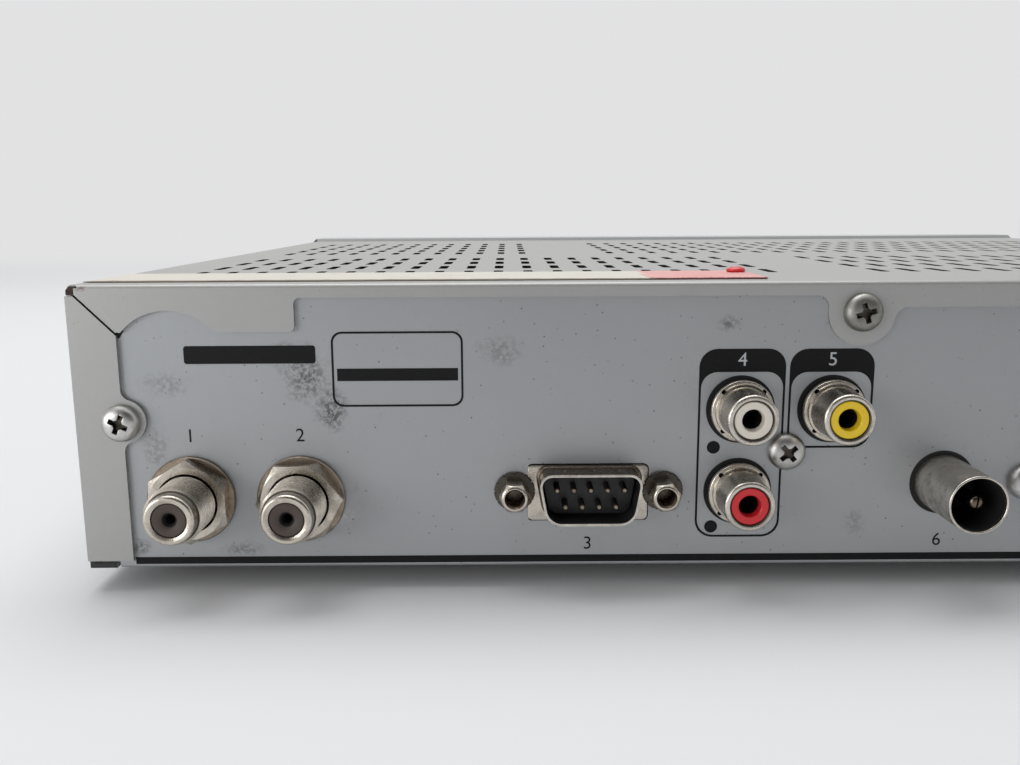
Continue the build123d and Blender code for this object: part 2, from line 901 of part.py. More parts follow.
# ================================================================ Mains inlet
inlet_seat = rear_seat(inlet_across, inlet_height)
with BuildPart() as mains_inlet:
    with BuildSketch(inlet_seat.offset(inlet_reach)):
        Rectangle(inlet_body_width, inlet_body_height)
    extrude(amount=-inlet_body_depth)
    with BuildSketch(inlet_seat.offset(inlet_reach)):
        SlotCenterToCenter(inlet_pin_pitch, 2 * inlet_well_radius)
    extrude(amount=-inlet_well_depth, mode=Mode.SUBTRACT)
keep(mains_inlet, "mains_inlet")

with BuildPart() as inlet_pins:
    with BuildSketch(inlet_seat.offset(inlet_reach - inlet_well_depth)):
        with GridLocations(inlet_pin_pitch, 0, 2, 1):
            Circle(inlet_pin_radius)
    extrude(amount=inlet_pin_length)
keep(inlet_pins, "inlet_pins")

# ================================================================ Mains switch
switch_seat = rear_seat(switch_across, switch_height)
pivot = rear_seat(switch_across, switch_height, -rocker_pivot_depth).origin
with BuildPart() as switch_housing:
    with BuildSketch(switch_seat):
        Rectangle(switch_flange_width, switch_flange_height)
    extrude(amount=switch_flange_reach)
    with BuildSketch(switch_seat):
        Rectangle(switch_body_width, switch_body_height)
    extrude(amount=-switch_body_depth)
    with BuildSketch(switch_seat.offset(switch_flange_reach)):
        Rectangle(switch_cavity_width, switch_cavity_height)
    extrude(amount=-switch_flange_reach - switch_cavity_depth, mode=Mode.SUBTRACT)
    with BuildSketch(Plane(pivot, z_dir=(1, 0, 0))):
        Circle(rocker_stub_radius + rocker_stub_clearance)
    stub_reach = switch_cavity_width / 2 + rocker_stub_length
    extrude(amount=stub_reach, both=True, mode=Mode.SUBTRACT)
keep(switch_housing, "switch_housing")

# The rocker rests with its lower edge pressed in: its section is drawn level and tilted about
# the pivot by half its swing.
rocker_tilt = radians(rocker_swing / 2)
rocker_plane = Plane(pivot, x_dir=(0, sin(rocker_tilt), cos(rocker_tilt)), z_dir=(-1, 0, 0))
rocker_half_width = switch_cavity_width / 2 - running_gap
with BuildPart() as mains_rocker:
    with BuildSketch(rocker_plane):
        with BuildLine():
            Polyline(
                (-rocker_half_height, rocker_heel),
                (-rocker_half_height, rocker_crest),
                (0, rocker_valley),
                (rocker_half_height, rocker_crest),
                (rocker_half_height, rocker_heel),
            )
            ThreePointArc(
                (rocker_half_height, rocker_heel), (0, rocker_back), (-rocker_half_height, rocker_heel)
            )
        make_face()
    extrude(amount=rocker_half_width, both=True)
    with BuildSketch(rocker_plane):
        Circle(rocker_stub_radius)
    extrude(amount=stub_reach - running_gap, both=True)
keep(mains_rocker, "mains_rocker")

# Each lead leaves a flat terminal behind the switch and turns down to the power board.
with BuildPart() as switch_leads:
    for side in (-1, 1):
        terminal = rear_seat(switch_across + side * switch_lead_pitch / 2, switch_height, -switch_body_depth)
        with BuildSketch(terminal):
            Rectangle(terminal_thickness, terminal_width)
        extrude(amount=-switch_terminal_length)
        lead_start = terminal.offset(-switch_terminal_length)
        corner = lead_start.offset(-lead_run).origin
        with BuildLine() as route:
            FilletPolyline(
                lead_start.origin,
                corner,
                (corner.X, corner.Y, board_top),
                radius=lead_run * 0.6,
            )
        with BuildSketch(lead_start):
            Rectangle(2 * switch_lead_radius, 2 * switch_lead_radius)
        sweep(path=route.wires()[0])
keep(switch_leads, "switch_leads")

# ================================================================ Boards
def board(start, end, depth):
    """Circuit board that reaches to just behind the rear wall."""
    middle = floor_seat((start + end) / 2, rear_y - board_rear_y + depth / 2, board_z)
    with BuildPart() as panel:
        with BuildSketch(middle):
            Rectangle(end - start, depth)
        extrude(amount=board_thickness)
    return panel


main_board = board(main_board_start, main_board_end, main_board_depth)
keep(main_board, "main_board")
power_board = board(power_board_start, power_board_end, power_board_depth)
keep(power_board, "power_board")

with BuildPart() as board_standoffs:
    with BuildSketch(Plane.XY.offset(base_z + sheet)):
        with Locations(*standoff_places):
            RegularPolygon(standoff_flats / 2, 6, major_radius=False)
    extrude(amount=standoff_height)
keep(board_standoffs, "board_standoffs")

with BuildPart() as board_screws:
    with BuildSketch(Plane.XY.offset(board_top)):
        with Locations(*standoff_places):
            RegularPolygon(board_screw_flats / 2, 6, major_radius=False)
    extrude(amount=board_screw_height)
keep(board_screws, "board_screws")

with BuildPart() as decoder_chips:
    with BuildSketch(floor_seat(decoder_across, decoder_from_rear, board_top)):
        Rectangle(decoder_size, decoder_size)
    extrude(amount=decoder_thickness)
    with BuildSketch(floor_seat(decoder_across - decoder_size, decoder_from_rear, board_top)):
        with GridLocations(0, memory_length * 1.2, 1, 2):
            Rectangle(memory_width, memory_length)
    extrude(amount=memory_thickness)
keep(decoder_chips, "decoder_chips")

with BuildPart() as chip_heat_sink:
    with BuildSketch(floor_seat(decoder_across, decoder_from_rear, board_top + decoder_thickness)):
        Rectangle(decoder_fin_size, decoder_fin_size)
    extrude(amount=heat_sink_fin)
    with BuildSketch(floor_seat(decoder_across, decoder_from_rear, board_top + decoder_thickness)):
        with GridLocations((decoder_fin_size - heat_sink_fin) / heat_sink_fins, 0, heat_sink_fins + 1, 1):
            Rectangle(heat_sink_fin, decoder_fin_size)
    extrude(amount=decoder_fin_height)
keep(chip_heat_sink, "chip_heat_sink")

# ================================================================ Power supply
with BuildPart() as power_transformer:
    with BuildSketch(floor_seat(power_across, transformer_from_rear, board_top)):
        Rectangle(transformer_size, transformer_core_width)
    extrude(amount=transformer_height)
    with BuildSketch(floor_seat(power_across, transformer_from_rear, board_top + winding_lift)):
        Rectangle(transformer_size * 0.8, transformer_size * 0.8)
    extrude(amount=transformer_height - 2 * winding_lift)
keep(power_transformer, "power_transformer")

with BuildPart() as capacitors:
    with BuildSketch(floor_seat(power_board_end - bulk_inset, bulk_from_rear, board_top)):
        Circle(bulk_radius)
    extrude(amount=bulk_height)
    with BuildSketch(floor_seat(power_across, output_from_rear, board_top)):
        with GridLocations(3 * output_radius, 0, 2, 1):
            Circle(output_radius)
    extrude(amount=output_height)
keep(capacitors, "capacitors")

heat_sink_length = power_board_end - power_board_start - 2 * heat_sink_end_gap
with BuildPart() as heat_sink:
    with BuildSketch(floor_seat(power_across, heat_sink_from_rear, board_top)):
        with Locations((0, -heat_sink_depth / 2)):
            Rectangle(heat_sink_length, heat_sink_base, align=(Align.CENTER, Align.MIN))
        with GridLocations((heat_sink_length - heat_sink_fin) / heat_sink_fins, 0, heat_sink_fins + 1, 1):
            Rectangle(heat_sink_fin, heat_sink_depth)
    extrude(amount=heat_sink_height)
keep(heat_sink, "heat_sink")

fuse_seat = floor_seat(power_board_start + fuse_inset, fuse_from_rear, board_top)
with BuildPart() as mains_fuse:
    with BuildSketch(fuse_seat):
        with GridLocations(0, fuse_length - fuse_cap_length, 1, 2):
            Rectangle(2.6 * fuse_radius, fuse_cap_length * 0.8)
    extrude(amount=fuse_lift)
    with BuildSketch(Plane(fuse_seat.origin + (0, 0, fuse_lift + fuse_radius), z_dir=(0, 1, 0))):
        Circle(fuse_radius)
    extrude(amount=fuse_length / 2, both=True)
keep(mains_fuse, "mains_fuse")

# ================================================================ Harness between the boards
main_header_across = main_board_end - header_edge
power_header_across = power_board_start + header_edge
with BuildPart() as power_harness:
    harness_x = [case_width / 2 - across for across in (main_header_across, power_header_across)]
    harness_z = board_top + connector_height
    with BuildSketch(Plane.XZ.offset(-(rear_y - harness_from_rear))):
        with BuildLine():
            FilletPolyline(
                (harness_x[0], harness_z),
                (harness_x[0], harness_z + harness_rise),
                (harness_x[1], harness_z + harness_rise),
                (harness_x[1], harness_z),
                radius=harness_rise / 2,
            )
        trace(line_width=ribbon_thickness)
    extrude(amount=harness_width / 2, both=True)
keep(power_harness, "power_harness")

# ================================================================ Moulded front
bezel_width = case_width + 2 * bezel_overhang
bezel_bottom = base_z - bezel_overhang
bezel_height = case_height + 2 * bezel_overhang
button_places = (standby_across, channel_down_across, channel_up_across)

with BuildPart() as front_bezel:
    with BuildSketch(Plane.XZ.offset(-seam_y)):
        with Locations((0, bezel_bottom)):
            Rectangle(bezel_width, bezel_height, align=(Align.CENTER, Align.MIN))
    extrude(amount=bezel_depth)
    fillet(front_bezel.edges().filter_by(Axis.Z).group_by(Axis.Y)[0], bezel_side_radius)
    chamfer(front_bezel.faces().sort_by(Axis.Y)[0].edges(), bezel_edge_bevel)
    with BuildSketch(Plane.XZ.offset(-seam_y)):
        with Locations((0, bezel_bottom + bezel_wall)):
            Rectangle(
                bezel_width - 2 * bezel_wall,
                bezel_height - 2 * bezel_wall,
                align=(Align.CENTER, Align.MIN),
            )
    extrude(amount=bezel_depth - bezel_wall, mode=Mode.SUBTRACT)
    # shallow frame round the display window, then the window's opening
    with BuildSketch(front_seat(0, window_middle, front_y)):
        RectangleRounded(
            window_width + 2 * frame_margin,
            window_height + 2 * frame_margin,
            window_corner + frame_margin / 2,
        )
    extrude(amount=-frame_recess, mode=Mode.SUBTRACT)
    with BuildSketch(front_seat(0, window_middle, front_y)):
        RectangleRounded(
            window_width + 2 * window_clearance,
            window_height + 2 * window_clearance,
            window_corner + window_clearance,
        )
    extrude(amount=-bezel_wall, mode=Mode.SUBTRACT)
    # openings for the buttons and the light pipe
    with BuildSketch(front_seat(0, controls_middle, front_y)):
        with Locations((standby_across, 0)):
            Circle(standby_radius + running_gap)
        with Locations((channel_down_across, 0), (channel_up_across, 0)):
            Rectangle(channel_width + 2 * running_gap, channel_height + 2 * running_gap)
        with Locations((lamp_across, 0)):
            Rectangle(pipe_width + 2 * fit_gap, pipe_height + 2 * fit_gap)
    extrude(amount=-bezel_wall, mode=Mode.SUBTRACT)
    # bosses that carry the front board
    with BuildSketch(front_seat(0, controls_middle, bezel_inner_y)):
        with Locations(*boss_places):
            Rectangle(boss_width, boss_width)
    extrude(amount=-front_board_gap)
keep(front_bezel, "front_bezel")

with BuildPart() as display_window:
    with BuildSketch(front_seat(0, window_middle, bezel_inner_y)):
        Rectangle(window_width + 2 * window_flange, window_height + 2 * window_flange)
    extrude(amount=-window_flange_thickness)
    with BuildSketch(front_seat(0, window_middle, bezel_inner_y)):
        RectangleRounded(window_width, window_height, window_corner)
    extrude(amount=bezel_wall - window_recess)
keep(display_window, "display_window")

# ================================================================ Front board and its parts
with BuildPart() as front_board:
    with BuildSketch(front_board_face):
        Rectangle(front_board_width, front_board_height)
    extrude(amount=-board_thickness)
keep(front_board, "front_board")

with BuildPart() as digit_display:
    with BuildSketch(front_seat(-digits_shift, window_middle, front_board_y)):
        Rectangle(digits_width, digits_height)
    extrude(amount=digits_thickness)
keep(digit_display, "digit_display")

with BuildPart() as infrared_receiver:
    with BuildSketch(front_seat(receiver_across, window_middle, front_board_y)):
        Rectangle(receiver_width, receiver_height)
    extrude(amount=receiver_thickness)
    with BuildSketch(front_seat(receiver_across, window_middle, front_board_y - receiver_thickness)):
        Circle(receiver_dome_radius)
    extrude(amount=receiver_dome_radius / 2)
    chamfer(infrared_receiver.edges().group_by(Axis.Y)[0], receiver_dome_radius * 0.3)
keep(infrared_receiver, "infrared_receiver")

with BuildPart() as button_switches:
    with BuildSketch(front_board_face):
        with Locations(*[(x, 0) for x in button_places]):
            Rectangle(switch_size, switch_size)
    extrude(amount=switch_thickness)
    with BuildSketch(front_board_face.offset(switch_thickness)):
        with Locations(*[(x, 0) for x in button_places]):
            Rectangle(switch_hole, switch_hole)
    extrude(amount=-stem_engagement - button_travel - switch_hole_spare, mode=Mode.SUBTRACT)
keep(button_switches, "button_switches")

with BuildPart() as standby_lamp:
    with BuildSketch(front_seat(lamp_across, controls_middle, front_board_y)):
        Rectangle(pipe_width, pipe_height)
    extrude(amount=lamp_height)
keep(standby_lamp, "standby_lamp")

with BuildPart() as light_pipe:
    with BuildSketch(front_seat(lamp_across, controls_middle, front_y)):
        Rectangle(pipe_width, pipe_height)
    extrude(amount=-(bezel_wall + front_board_gap - lamp_height))
keep(light_pipe, "light_pipe")

with BuildSketch() as standby_cap:
    Circle(standby_radius)
with BuildSketch() as channel_cap:
    Rectangle(channel_width, channel_height)


def push_button(x, cap, lip_width, lip_height):
    """Cap through the front, lip behind the wall and a square stem that reaches into its switch."""
    lip_front = bezel_inner_y + running_gap
    lip_back = lip_front + button_lip_thickness
    stem_end = front_board_y - switch_thickness + stem_engagement
    with BuildPart() as button:
        with BuildSketch(front_seat(x, controls_middle, lip_front)):
            add(cap.sketch)
        extrude(amount=lip_front - front_y + button_proud)
        with BuildSketch(front_seat(x, controls_middle, lip_front)):
            Rectangle(lip_width, lip_height)
        extrude(amount=-button_lip_thickness)
        with BuildSketch(front_seat(x, controls_middle, lip_back)):
            Rectangle(button_stem, button_stem)
        extrude(amount=lip_back - stem_end)
    return button


standby_lip = 2 * (standby_radius + button_lip)
keep(push_button(standby_across, standby_cap, standby_lip, standby_lip), "standby_button")
for name, x in (("channel_down_button", channel_down_across), ("channel_up_button", channel_up_across)):
    channel_button = push_button(
        x, channel_cap, channel_width + 2 * button_lip, channel_height + 2 * button_lip
    )
    keep(channel_button, name)

# ================================================================ Ribbon to the front board
ribbon_y = board_rear_y - main_board_depth + connector_depth
ribbon_z = board_top + connector_height + ribbon_rise
front_header_y = front_board_y + board_thickness
with BuildPart() as board_headers:
    for across in (main_header_across, power_header_across):
        with BuildSketch(floor_seat(across, harness_from_rear, board_top)):
            Rectangle(connector_depth, harness_width)
        extrude(amount=connector_height)
    with BuildSketch(Plane.XY.offset(board_top)):
        with Locations((ribbon_across, ribbon_y)):
            Rectangle(ribbon_width + 2 * ribbon_thickness, connector_depth)
    extrude(amount=connector_height)
    with BuildSketch(Plane.XZ.offset(-front_header_y)):
        with Locations((ribbon_across, ribbon_z)):
            Rectangle(ribbon_width + 2 * ribbon_thickness, connector_depth)
    extrude(amount=-connector_height)
keep(board_headers, "board_headers")

with BuildPart() as ribbon_cable:
    with BuildSketch(Plane.YZ.offset(ribbon_across)):
        with BuildLine():
            FilletPolyline(
                (ribbon_y, board_top + connector_height),
                (ribbon_y, ribbon_z),
                (front_header_y + connector_height, ribbon_z),
                radius=ribbon_rise / 2,
            )
        trace(line_width=ribbon_thickness)
    extrude(amount=ribbon_width / 2, both=True)
keep(ribbon_cable, "ribbon_cable")
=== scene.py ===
"""Satellite television receiver: the visible finish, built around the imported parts.

Lengths in the classes are millimetres. Places on the rear wall are given as seen from behind: "across"
from the case's left outer edge, "height" above the underside of the base and "out" from the wall's outer
face. A piece is modelled upright about its own axis and then seated.
"""

from __future__ import annotations

import logging
import math
from collections.abc import Callable, Iterator, Mapping, Sequence
from contextlib import contextmanager
from dataclasses import dataclass, field
from enum import Enum
from functools import cached_property

import bmesh
import bpy
from mathutils import Matrix, Vector

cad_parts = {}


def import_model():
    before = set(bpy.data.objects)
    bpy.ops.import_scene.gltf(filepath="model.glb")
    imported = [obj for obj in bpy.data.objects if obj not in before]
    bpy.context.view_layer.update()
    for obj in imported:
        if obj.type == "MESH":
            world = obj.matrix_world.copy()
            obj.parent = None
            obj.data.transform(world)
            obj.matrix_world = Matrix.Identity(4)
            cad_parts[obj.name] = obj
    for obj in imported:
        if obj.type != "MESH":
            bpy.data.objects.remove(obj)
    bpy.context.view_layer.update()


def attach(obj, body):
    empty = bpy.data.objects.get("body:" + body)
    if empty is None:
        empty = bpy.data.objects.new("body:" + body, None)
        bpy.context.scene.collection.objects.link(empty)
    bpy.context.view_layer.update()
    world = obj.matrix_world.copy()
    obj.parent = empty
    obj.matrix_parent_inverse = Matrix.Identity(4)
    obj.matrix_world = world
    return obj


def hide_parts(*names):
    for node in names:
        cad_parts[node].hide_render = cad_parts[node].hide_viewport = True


MM = 0.001
LOG = logging.getLogger("receiver")
Rgb = tuple[float, float, float]
Point = tuple[float, float]
Choice = Callable[[Vector, Vector], bool]


def tone(red: float, green: float, blue: float) -> Rgb:
    """Linear colour of a colour that is given as it looks on a screen.

    Args:
        red: Red from 0 to 255.
        green: Green from 0 to 255.
        blue: Blue from 0 to 255.

    Returns:
        The linear colour.
    """

    def straight(value: float) -> float:
        """One channel without its screen curve."""
        share = value / 255
        return share / 12.92 if share <= 0.04045 else ((share + 0.055) / 1.055) ** 2.4

    return straight(red), straight(green), straight(blue)


# ---------------------------------------------------------------- Shader graph
class Wire:
    """A shader socket that takes part in Python sums."""

    def __init__(self, graph: Graph, socket: bpy.types.NodeSocket) -> None:
        """Keeps the graph and its output socket."""
        self.graph = graph
        self.socket = socket

    def sum(self, operation: str, *values: Wire | float) -> Wire:
        """A Math node with this operation on these values."""
        return self.graph.node("ShaderNodeMath", {"operation": operation}, dict(enumerate(values)))

    def __add__(self, other: Wire | float) -> Wire:
        """This plus another."""
        return self.sum("ADD", self, other)

    def __radd__(self, other: float) -> Wire:
        """A number plus this."""
        return self.sum("ADD", other, self)

    def __sub__(self, other: Wire | float) -> Wire:
        """This less another."""
        return self.sum("SUBTRACT", self, other)

    def __rsub__(self, other: float) -> Wire:
        """A number less this."""
        return self.sum("SUBTRACT", other, self)

    def __mul__(self, other: Wire | float) -> Wire:
        """This times another."""
        return self.sum("MULTIPLY", self, other)

    def __rmul__(self, other: float) -> Wire:
        """A number times this."""
        return self.sum("MULTIPLY", other, self)

    def __truediv__(self, other: Wire | float) -> Wire:
        """This over another."""
        return self.sum("DIVIDE", self, other)

    def __abs__(self) -> Wire:
        """This without its sign."""
        return self.sum("ABSOLUTE", self)

    def above(self, low: float, high: float) -> Wire:
        """A smooth step from 0 at low to 1 at high."""
        settings = {"interpolation_type": "SMOOTHSTEP", "clamp": True}
        sockets = {"Value": self, "From Min": low, "From Max": high}
        return self.graph.node("ShaderNodeMapRange", settings, sockets)

    def most(self, other: Wire | float) -> Wire:
        """The larger of this and another."""
        return self.sum("MAXIMUM", self, other)

    def root(self) -> Wire:
        """The square root of this."""
        return self.sum("SQRT", self)


class Graph:
    """The node tree of one material, or of the world."""

    def __init__(self, owner: bpy.types.Material | bpy.types.World) -> None:
        """Empties the owner's tree."""
        owner.use_nodes = True
        self.tree = owner.node_tree
        self.tree.nodes.clear()

    @cached_property
    def place(self) -> Wire:
        """A place on the object, in metres."""
        return self.node("ShaderNodeTexCoord", output="Object")

    def node(
        self,
        kind: str,
        settings: Mapping[str, object] | None = None,
        sockets: Mapping[int | str, object] | None = None,
        output: int | str = 0,
    ) -> Wire:
        """Adds one node.

        Args:
            kind: The node's type.
            settings: Its properties.
            sockets: Values or wires by socket name or number.
            output: The output that is wanted.

        Returns:
            The wire of that output.
        """
        made = self.tree.nodes.new(kind)
        for key, value in (settings or {}).items():
            setattr(made, key, value)
        for key, value in (sockets or {}).items():
            if isinstance(value, Wire):
                self.tree.links.new(value.socket, made.inputs[key])
            elif isinstance(value, tuple) and len(value) == 3 and made.inputs[key].type == "RGBA":
                made.inputs[key].default_value = (*value, 1.0)
            else:
                made.inputs[key].default_value = value
        return Wire(self, made.outputs[output])

    def noise(
        self, size: float, detail: float = 3.0, rough: float = 0.55, stretch: Rgb = (1.0, 1.0, 1.0)
    ) -> Wire:
        """Cloudy noise around 0.5.

        Args:
            size: Size of its lumps in millimetres.
            detail: Octaves.
            rough: How strong the fine octaves are.
            stretch: How many times finer it is along each axis.

        Returns:
            The noise.
        """
        place = self.node("ShaderNodeMapping", {}, {"Vector": self.place, "Scale": stretch})
        sockets = {"Vector": place, "Scale": 1 / (size * MM), "Detail": detail, "Roughness": rough}
        return self.node("ShaderNodeTexNoise", {}, sockets)

    def cells(self, size: float) -> Wire:
        """Distance, in cells, to the nearest of points scattered this many millimetres apart."""
        sockets = {"Vector": self.place, "Scale": 1 / (size * MM)}
        return self.node("ShaderNodeTexVoronoi", {"feature": "F1"}, sockets, "Distance")

    def axis(self, name: str) -> Wire:
        """One coordinate of the place, in millimetres."""
        return self.node("ShaderNodeSeparateXYZ", {}, {0: self.place}, name.upper()) * (1 / MM)

    def blend(self, share: Wire | float, first: Wire | Rgb, second: Wire | Rgb, mode: str = "MIX") -> Wire:
        """Two colours mixed, with this share of the second."""
        settings = {"data_type": "RGBA", "blend_type": mode}
        return self.node("ShaderNodeMix", settings, {0: share, 6: first, 7: second}, 2)

    def bump(self, height: Wire, depth: float) -> Wire:
        """The normal of a surface that is this many millimetres deep at a height of 1."""
        return self.node("ShaderNodeBump", {}, {"Height": height, "Distance": depth * MM})

    def seen(self) -> Wire:
        """1 where the camera looks straight, by a reflection or through glass, and 0 elsewhere."""
        kinds = ("Camera", "Glossy", "Transmission")
        rays = [self.node("ShaderNodeLightPath", output=f"Is {kind} Ray") for kind in kinds]
        return rays[0].most(rays[1]).most(rays[2])

    def principled(self, **sockets: object) -> Wire:
        """A Principled shader, whose sockets are written with _ for each space in their names."""
        named = {key.replace("_", " "): value for key, value in sockets.items()}
        return self.node("ShaderNodeBsdfPrincipled", {}, named)

    def close(self, **sockets: object) -> None:
        """Ends a material in a Principled shader."""
        self.end_in(self.principled(**sockets))

    def end_in(self, shader: Wire, output: str = "ShaderNodeOutputMaterial") -> None:
        """Links a shader to the tree's output."""
        out = self.tree.nodes.new(output)
        self.tree.links.new(shader.socket, out.inputs["Surface"])


# ---------------------------------------------------------------- Finishes
@dataclass(frozen=True)
class Finish:
    """What every finish has."""

    name: str
    color: Rgb
    roughness: float

    def dress(self, graph: Graph) -> None:
        """Fills the material's empty tree."""
        raise NotImplementedError

    def material(self) -> bpy.types.Material:
        """The material of this finish, made once.

        Returns:
            The material.
        """
        material = bpy.data.materials.get(self.name)
        if material is None:
            material = bpy.data.materials.new(self.name)
            self.dress(Graph(material))
        return material


@dataclass(frozen=True)
class Patch:
    """A soft patch of dirt or wear on the rear wall."""

    across: float
    height: float
    half_width: float
    half_height: float
    strength: float


@dataclass(frozen=True)
class BakedPaint(Finish):
    """Paint baked on sheet steel: faint mottle, fine pits, smudges and rubbed places."""

    mottle: float = 0.05
    metallic: float = 0.0
    pits: float = 0.5
    pit_color: Rgb = tone(62, 60, 58)
    grime: float = 0.35
    grime_color: Rgb = tone(70, 66, 62)
    patches: tuple[Patch, ...] = ()
    rub_patches: tuple[Patch, ...] = ()
    rub_color: Rgb = tone(205, 203, 198)

    def spread(self, graph: Graph, patches: tuple[Patch, ...]) -> Wire | None:
        """How strongly the patches cover a place.

        Args:
            graph: The graph.
            patches: The patches.

        Returns:
            The cover from 0 to 1, or None without patches.
        """
        if not patches:
            return None
        total = None
        x, z = graph.axis("x"), graph.axis("z")
        ragged = (graph.noise(3.0, 5.0, 0.7) - 0.5) * 1.6
        for patch in patches:
            beside = abs(x - (Case.width / 2 - patch.across)) / patch.half_width
            above = abs(z - (Case.base + patch.height)) / patch.half_height
            far = (beside * beside + above * above).root() + ragged
            cover = (1.0 - far.above(0.1, 1.0)) * patch.strength
            total = cover if total is None else total.most(cover)
        on_wall = graph.axis("y").above(Case.rear - 3.9, Case.rear - 0.9)
        return total * on_wall

    def dress(self, graph: Graph) -> None:
        """Fills the material's tree.

        Args:
            graph: The empty graph.
        """
        cloudy = graph.noise(22.0, 4.0, 0.6)
        fine = graph.noise(0.9, 2.0, 0.6)
        shade = (cloudy - 0.5) * (2 * self.mottle) + (fine - 0.5) * self.mottle + 1.0
        lit = graph.node("ShaderNodeCombineXYZ", {}, {0: shade, 1: shade, 2: shade})
        color = graph.blend(1.0, self.color, lit, "MULTIPLY")
        streaks = graph.noise(9.0, 6.0, 0.75)
        grime = streaks.above(0.56, 0.78) * self.grime
        color = graph.blend(grime * fine.above(0.3, 0.7), color, self.grime_color)
        marks = self.spread(graph, self.patches)
        roughness = self.roughness + (cloudy - 0.5) * 0.12
        if marks is not None:
            broken = graph.noise(0.8, 3.0, 0.7).above(0.38, 0.6)
            color = graph.blend(marks * broken, color, self.grime_color)
            roughness = roughness + marks * 0.15
        rubbed = self.spread(graph, self.rub_patches)
        if rubbed is not None:
            broken = graph.noise(1.2, 3.0, 0.7).above(0.4, 0.62)
            color = graph.blend(rubbed * broken, color, self.rub_color)
        crowded = graph.noise(6.0, 2.0).above(0.42, 0.6)
        pits = (1.0 - graph.cells(1.5).above(0.05, 0.13)) * crowded * self.pits
        color = graph.blend(pits, color, self.pit_color)
        graph.close(
            Base_Color=color,
            Roughness=roughness,
            Metallic=self.metallic,
            Specular_IOR_Level=0.5,
            Normal=graph.bump(graph.noise(0.35, 2.0) * 0.6 + (1.0 - pits) * 0.4, 0.006),
        )


@dataclass(frozen=True)
class Plating(Finish):
    """Bright metal plate with dull patches, stains and fine scratches."""

    stain: float = 0.25
    stain_color: Rgb = tone(96, 84, 70)
    uneven: float = 0.12
    scratch: float = 0.02

    def dress(self, graph: Graph) -> None:
        """Fills the material's tree.

        Args:
            graph: The empty graph.
        """
        clouds = graph.noise(2.6, 5.0, 0.65)
        specks = graph.noise(0.5, 3.0, 0.6)
        dull = clouds.above(0.42, 0.68)
        color = graph.blend(dull * self.stain, self.color, self.stain_color)
        color = graph.blend(specks.above(0.62, 0.75) * self.stain * 1.2, color, self.stain_color)
        graph.close(
            Base_Color=color,
            Metallic=1.0 - specks.above(0.66, 0.8) * 0.5,
            Roughness=self.roughness + dull * self.uneven + (specks - 0.5) * 0.1,
            Normal=graph.bump(graph.noise(0.25, 2.0, 0.6, (1.0, 1.0, 3.0)), self.scratch),
        )


@dataclass(frozen=True)
class Moulding(Finish):
    """Moulded plastic with a fine grain."""

    grain: float = 0.25
    depth: float = 0.01
    shine: float = 0.0
    dust: float = 0.08
    dust_color: Rgb = tone(170, 166, 158)

    def dress(self, graph: Graph) -> None:
        """Fills the material's tree.

        Args:
            graph: The empty graph.
        """
        clouds = graph.noise(7.0, 4.0)
        dust = graph.noise(0.7, 3.0, 0.7).above(0.6, 0.8) * clouds.above(0.4, 0.7) * self.dust
        graph.close(
            Base_Color=graph.blend(dust, self.color, self.dust_color),
            Roughness=self.roughness + (clouds - 0.5) * 0.12 + dust,
            Coat_Weight=self.shine,
            Coat_Roughness=0.08,
            Normal=graph.bump(graph.cells(self.grain), self.depth),
        )


@dataclass(frozen=True)
class Ink(Finish):
    """Ink printed on paint, a little worn."""

    wear_color: Rgb = tone(96, 97, 100)

    def dress(self, graph: Graph) -> None:
        """Fills the material's tree.

        Args:
            graph: The empty graph.
        """
        worn = graph.noise(0.45, 3.0, 0.7).above(0.63, 0.74) * graph.noise(5.0, 2.0).above(0.4, 0.65)
        graph.close(
            Base_Color=graph.blend(worn * 0.7, self.color, self.wear_color),
            Roughness=self.roughness + worn * 0.2,
            Specular_IOR_Level=0.25,
        )


@dataclass(frozen=True)
class Laminate(Finish):
    """Circuit board: lacquer over copper tracks."""

    track_color: Rgb = tone(58, 112, 62)
    pad_color: Rgb = tone(176, 170, 150)

    def dress(self, graph: Graph) -> None:
        """Fills the material's tree.

        Args:
            graph: The empty graph.
        """
        sockets = {"Vector": graph.place, "Scale": 260.0, "Mortar Size": 0.12}
        tracks = graph.node("ShaderNodeTexBrick", {"offset": 0.37, "squash": 1.6}, sockets, "Fac")
        pads = 1.0 - graph.cells(3.1).above(0.12, 0.16)
        color = graph.blend(tracks, self.color, self.track_color)
        graph.close(
            Base_Color=graph.blend(pads, color, self.pad_color),
            Metallic=pads * 0.8,
            Roughness=self.roughness + pads * 0.1,
            Normal=graph.bump(tracks, 0.03),
        )


@dataclass(frozen=True)
class Tape(Finish):
    """Paper tape with soil and fibres."""

    soil_color: Rgb = tone(186, 176, 158)

    def dress(self, graph: Graph) -> None:
        """Fills the material's tree.

        Args:
            graph: The empty graph.
        """
        fibres = graph.noise(1.6, 5.0, 0.7, (0.3, 1.0, 1.0))
        soil = graph.noise(11.0, 5.0, 0.65).above(0.5, 0.72)
        color = graph.blend(soil * 0.5, self.color, self.soil_color)
        graph.close(
            Base_Color=graph.blend(fibres.above(0.55, 0.8) * 0.25, color, self.soil_color),
            Roughness=self.roughness + (fibres - 0.5) * 0.2,
            Normal=graph.bump(fibres, 0.05),
        )


@dataclass(frozen=True)
class Rust(Finish):
    """Bare steel that has rusted."""

    dark_color: Rgb = tone(48, 36, 30)

    def dress(self, graph: Graph) -> None:
        """Fills the material's tree.

        Args:
            graph: The empty graph.
        """
        crust = graph.noise(0.8, 5.0, 0.7)
        graph.close(
            Base_Color=graph.blend(crust.above(0.4, 0.65), self.color, self.dark_color),
            Roughness=self.roughness + (crust - 0.5) * 0.2,
            Normal=graph.bump(crust, 0.04),
        )


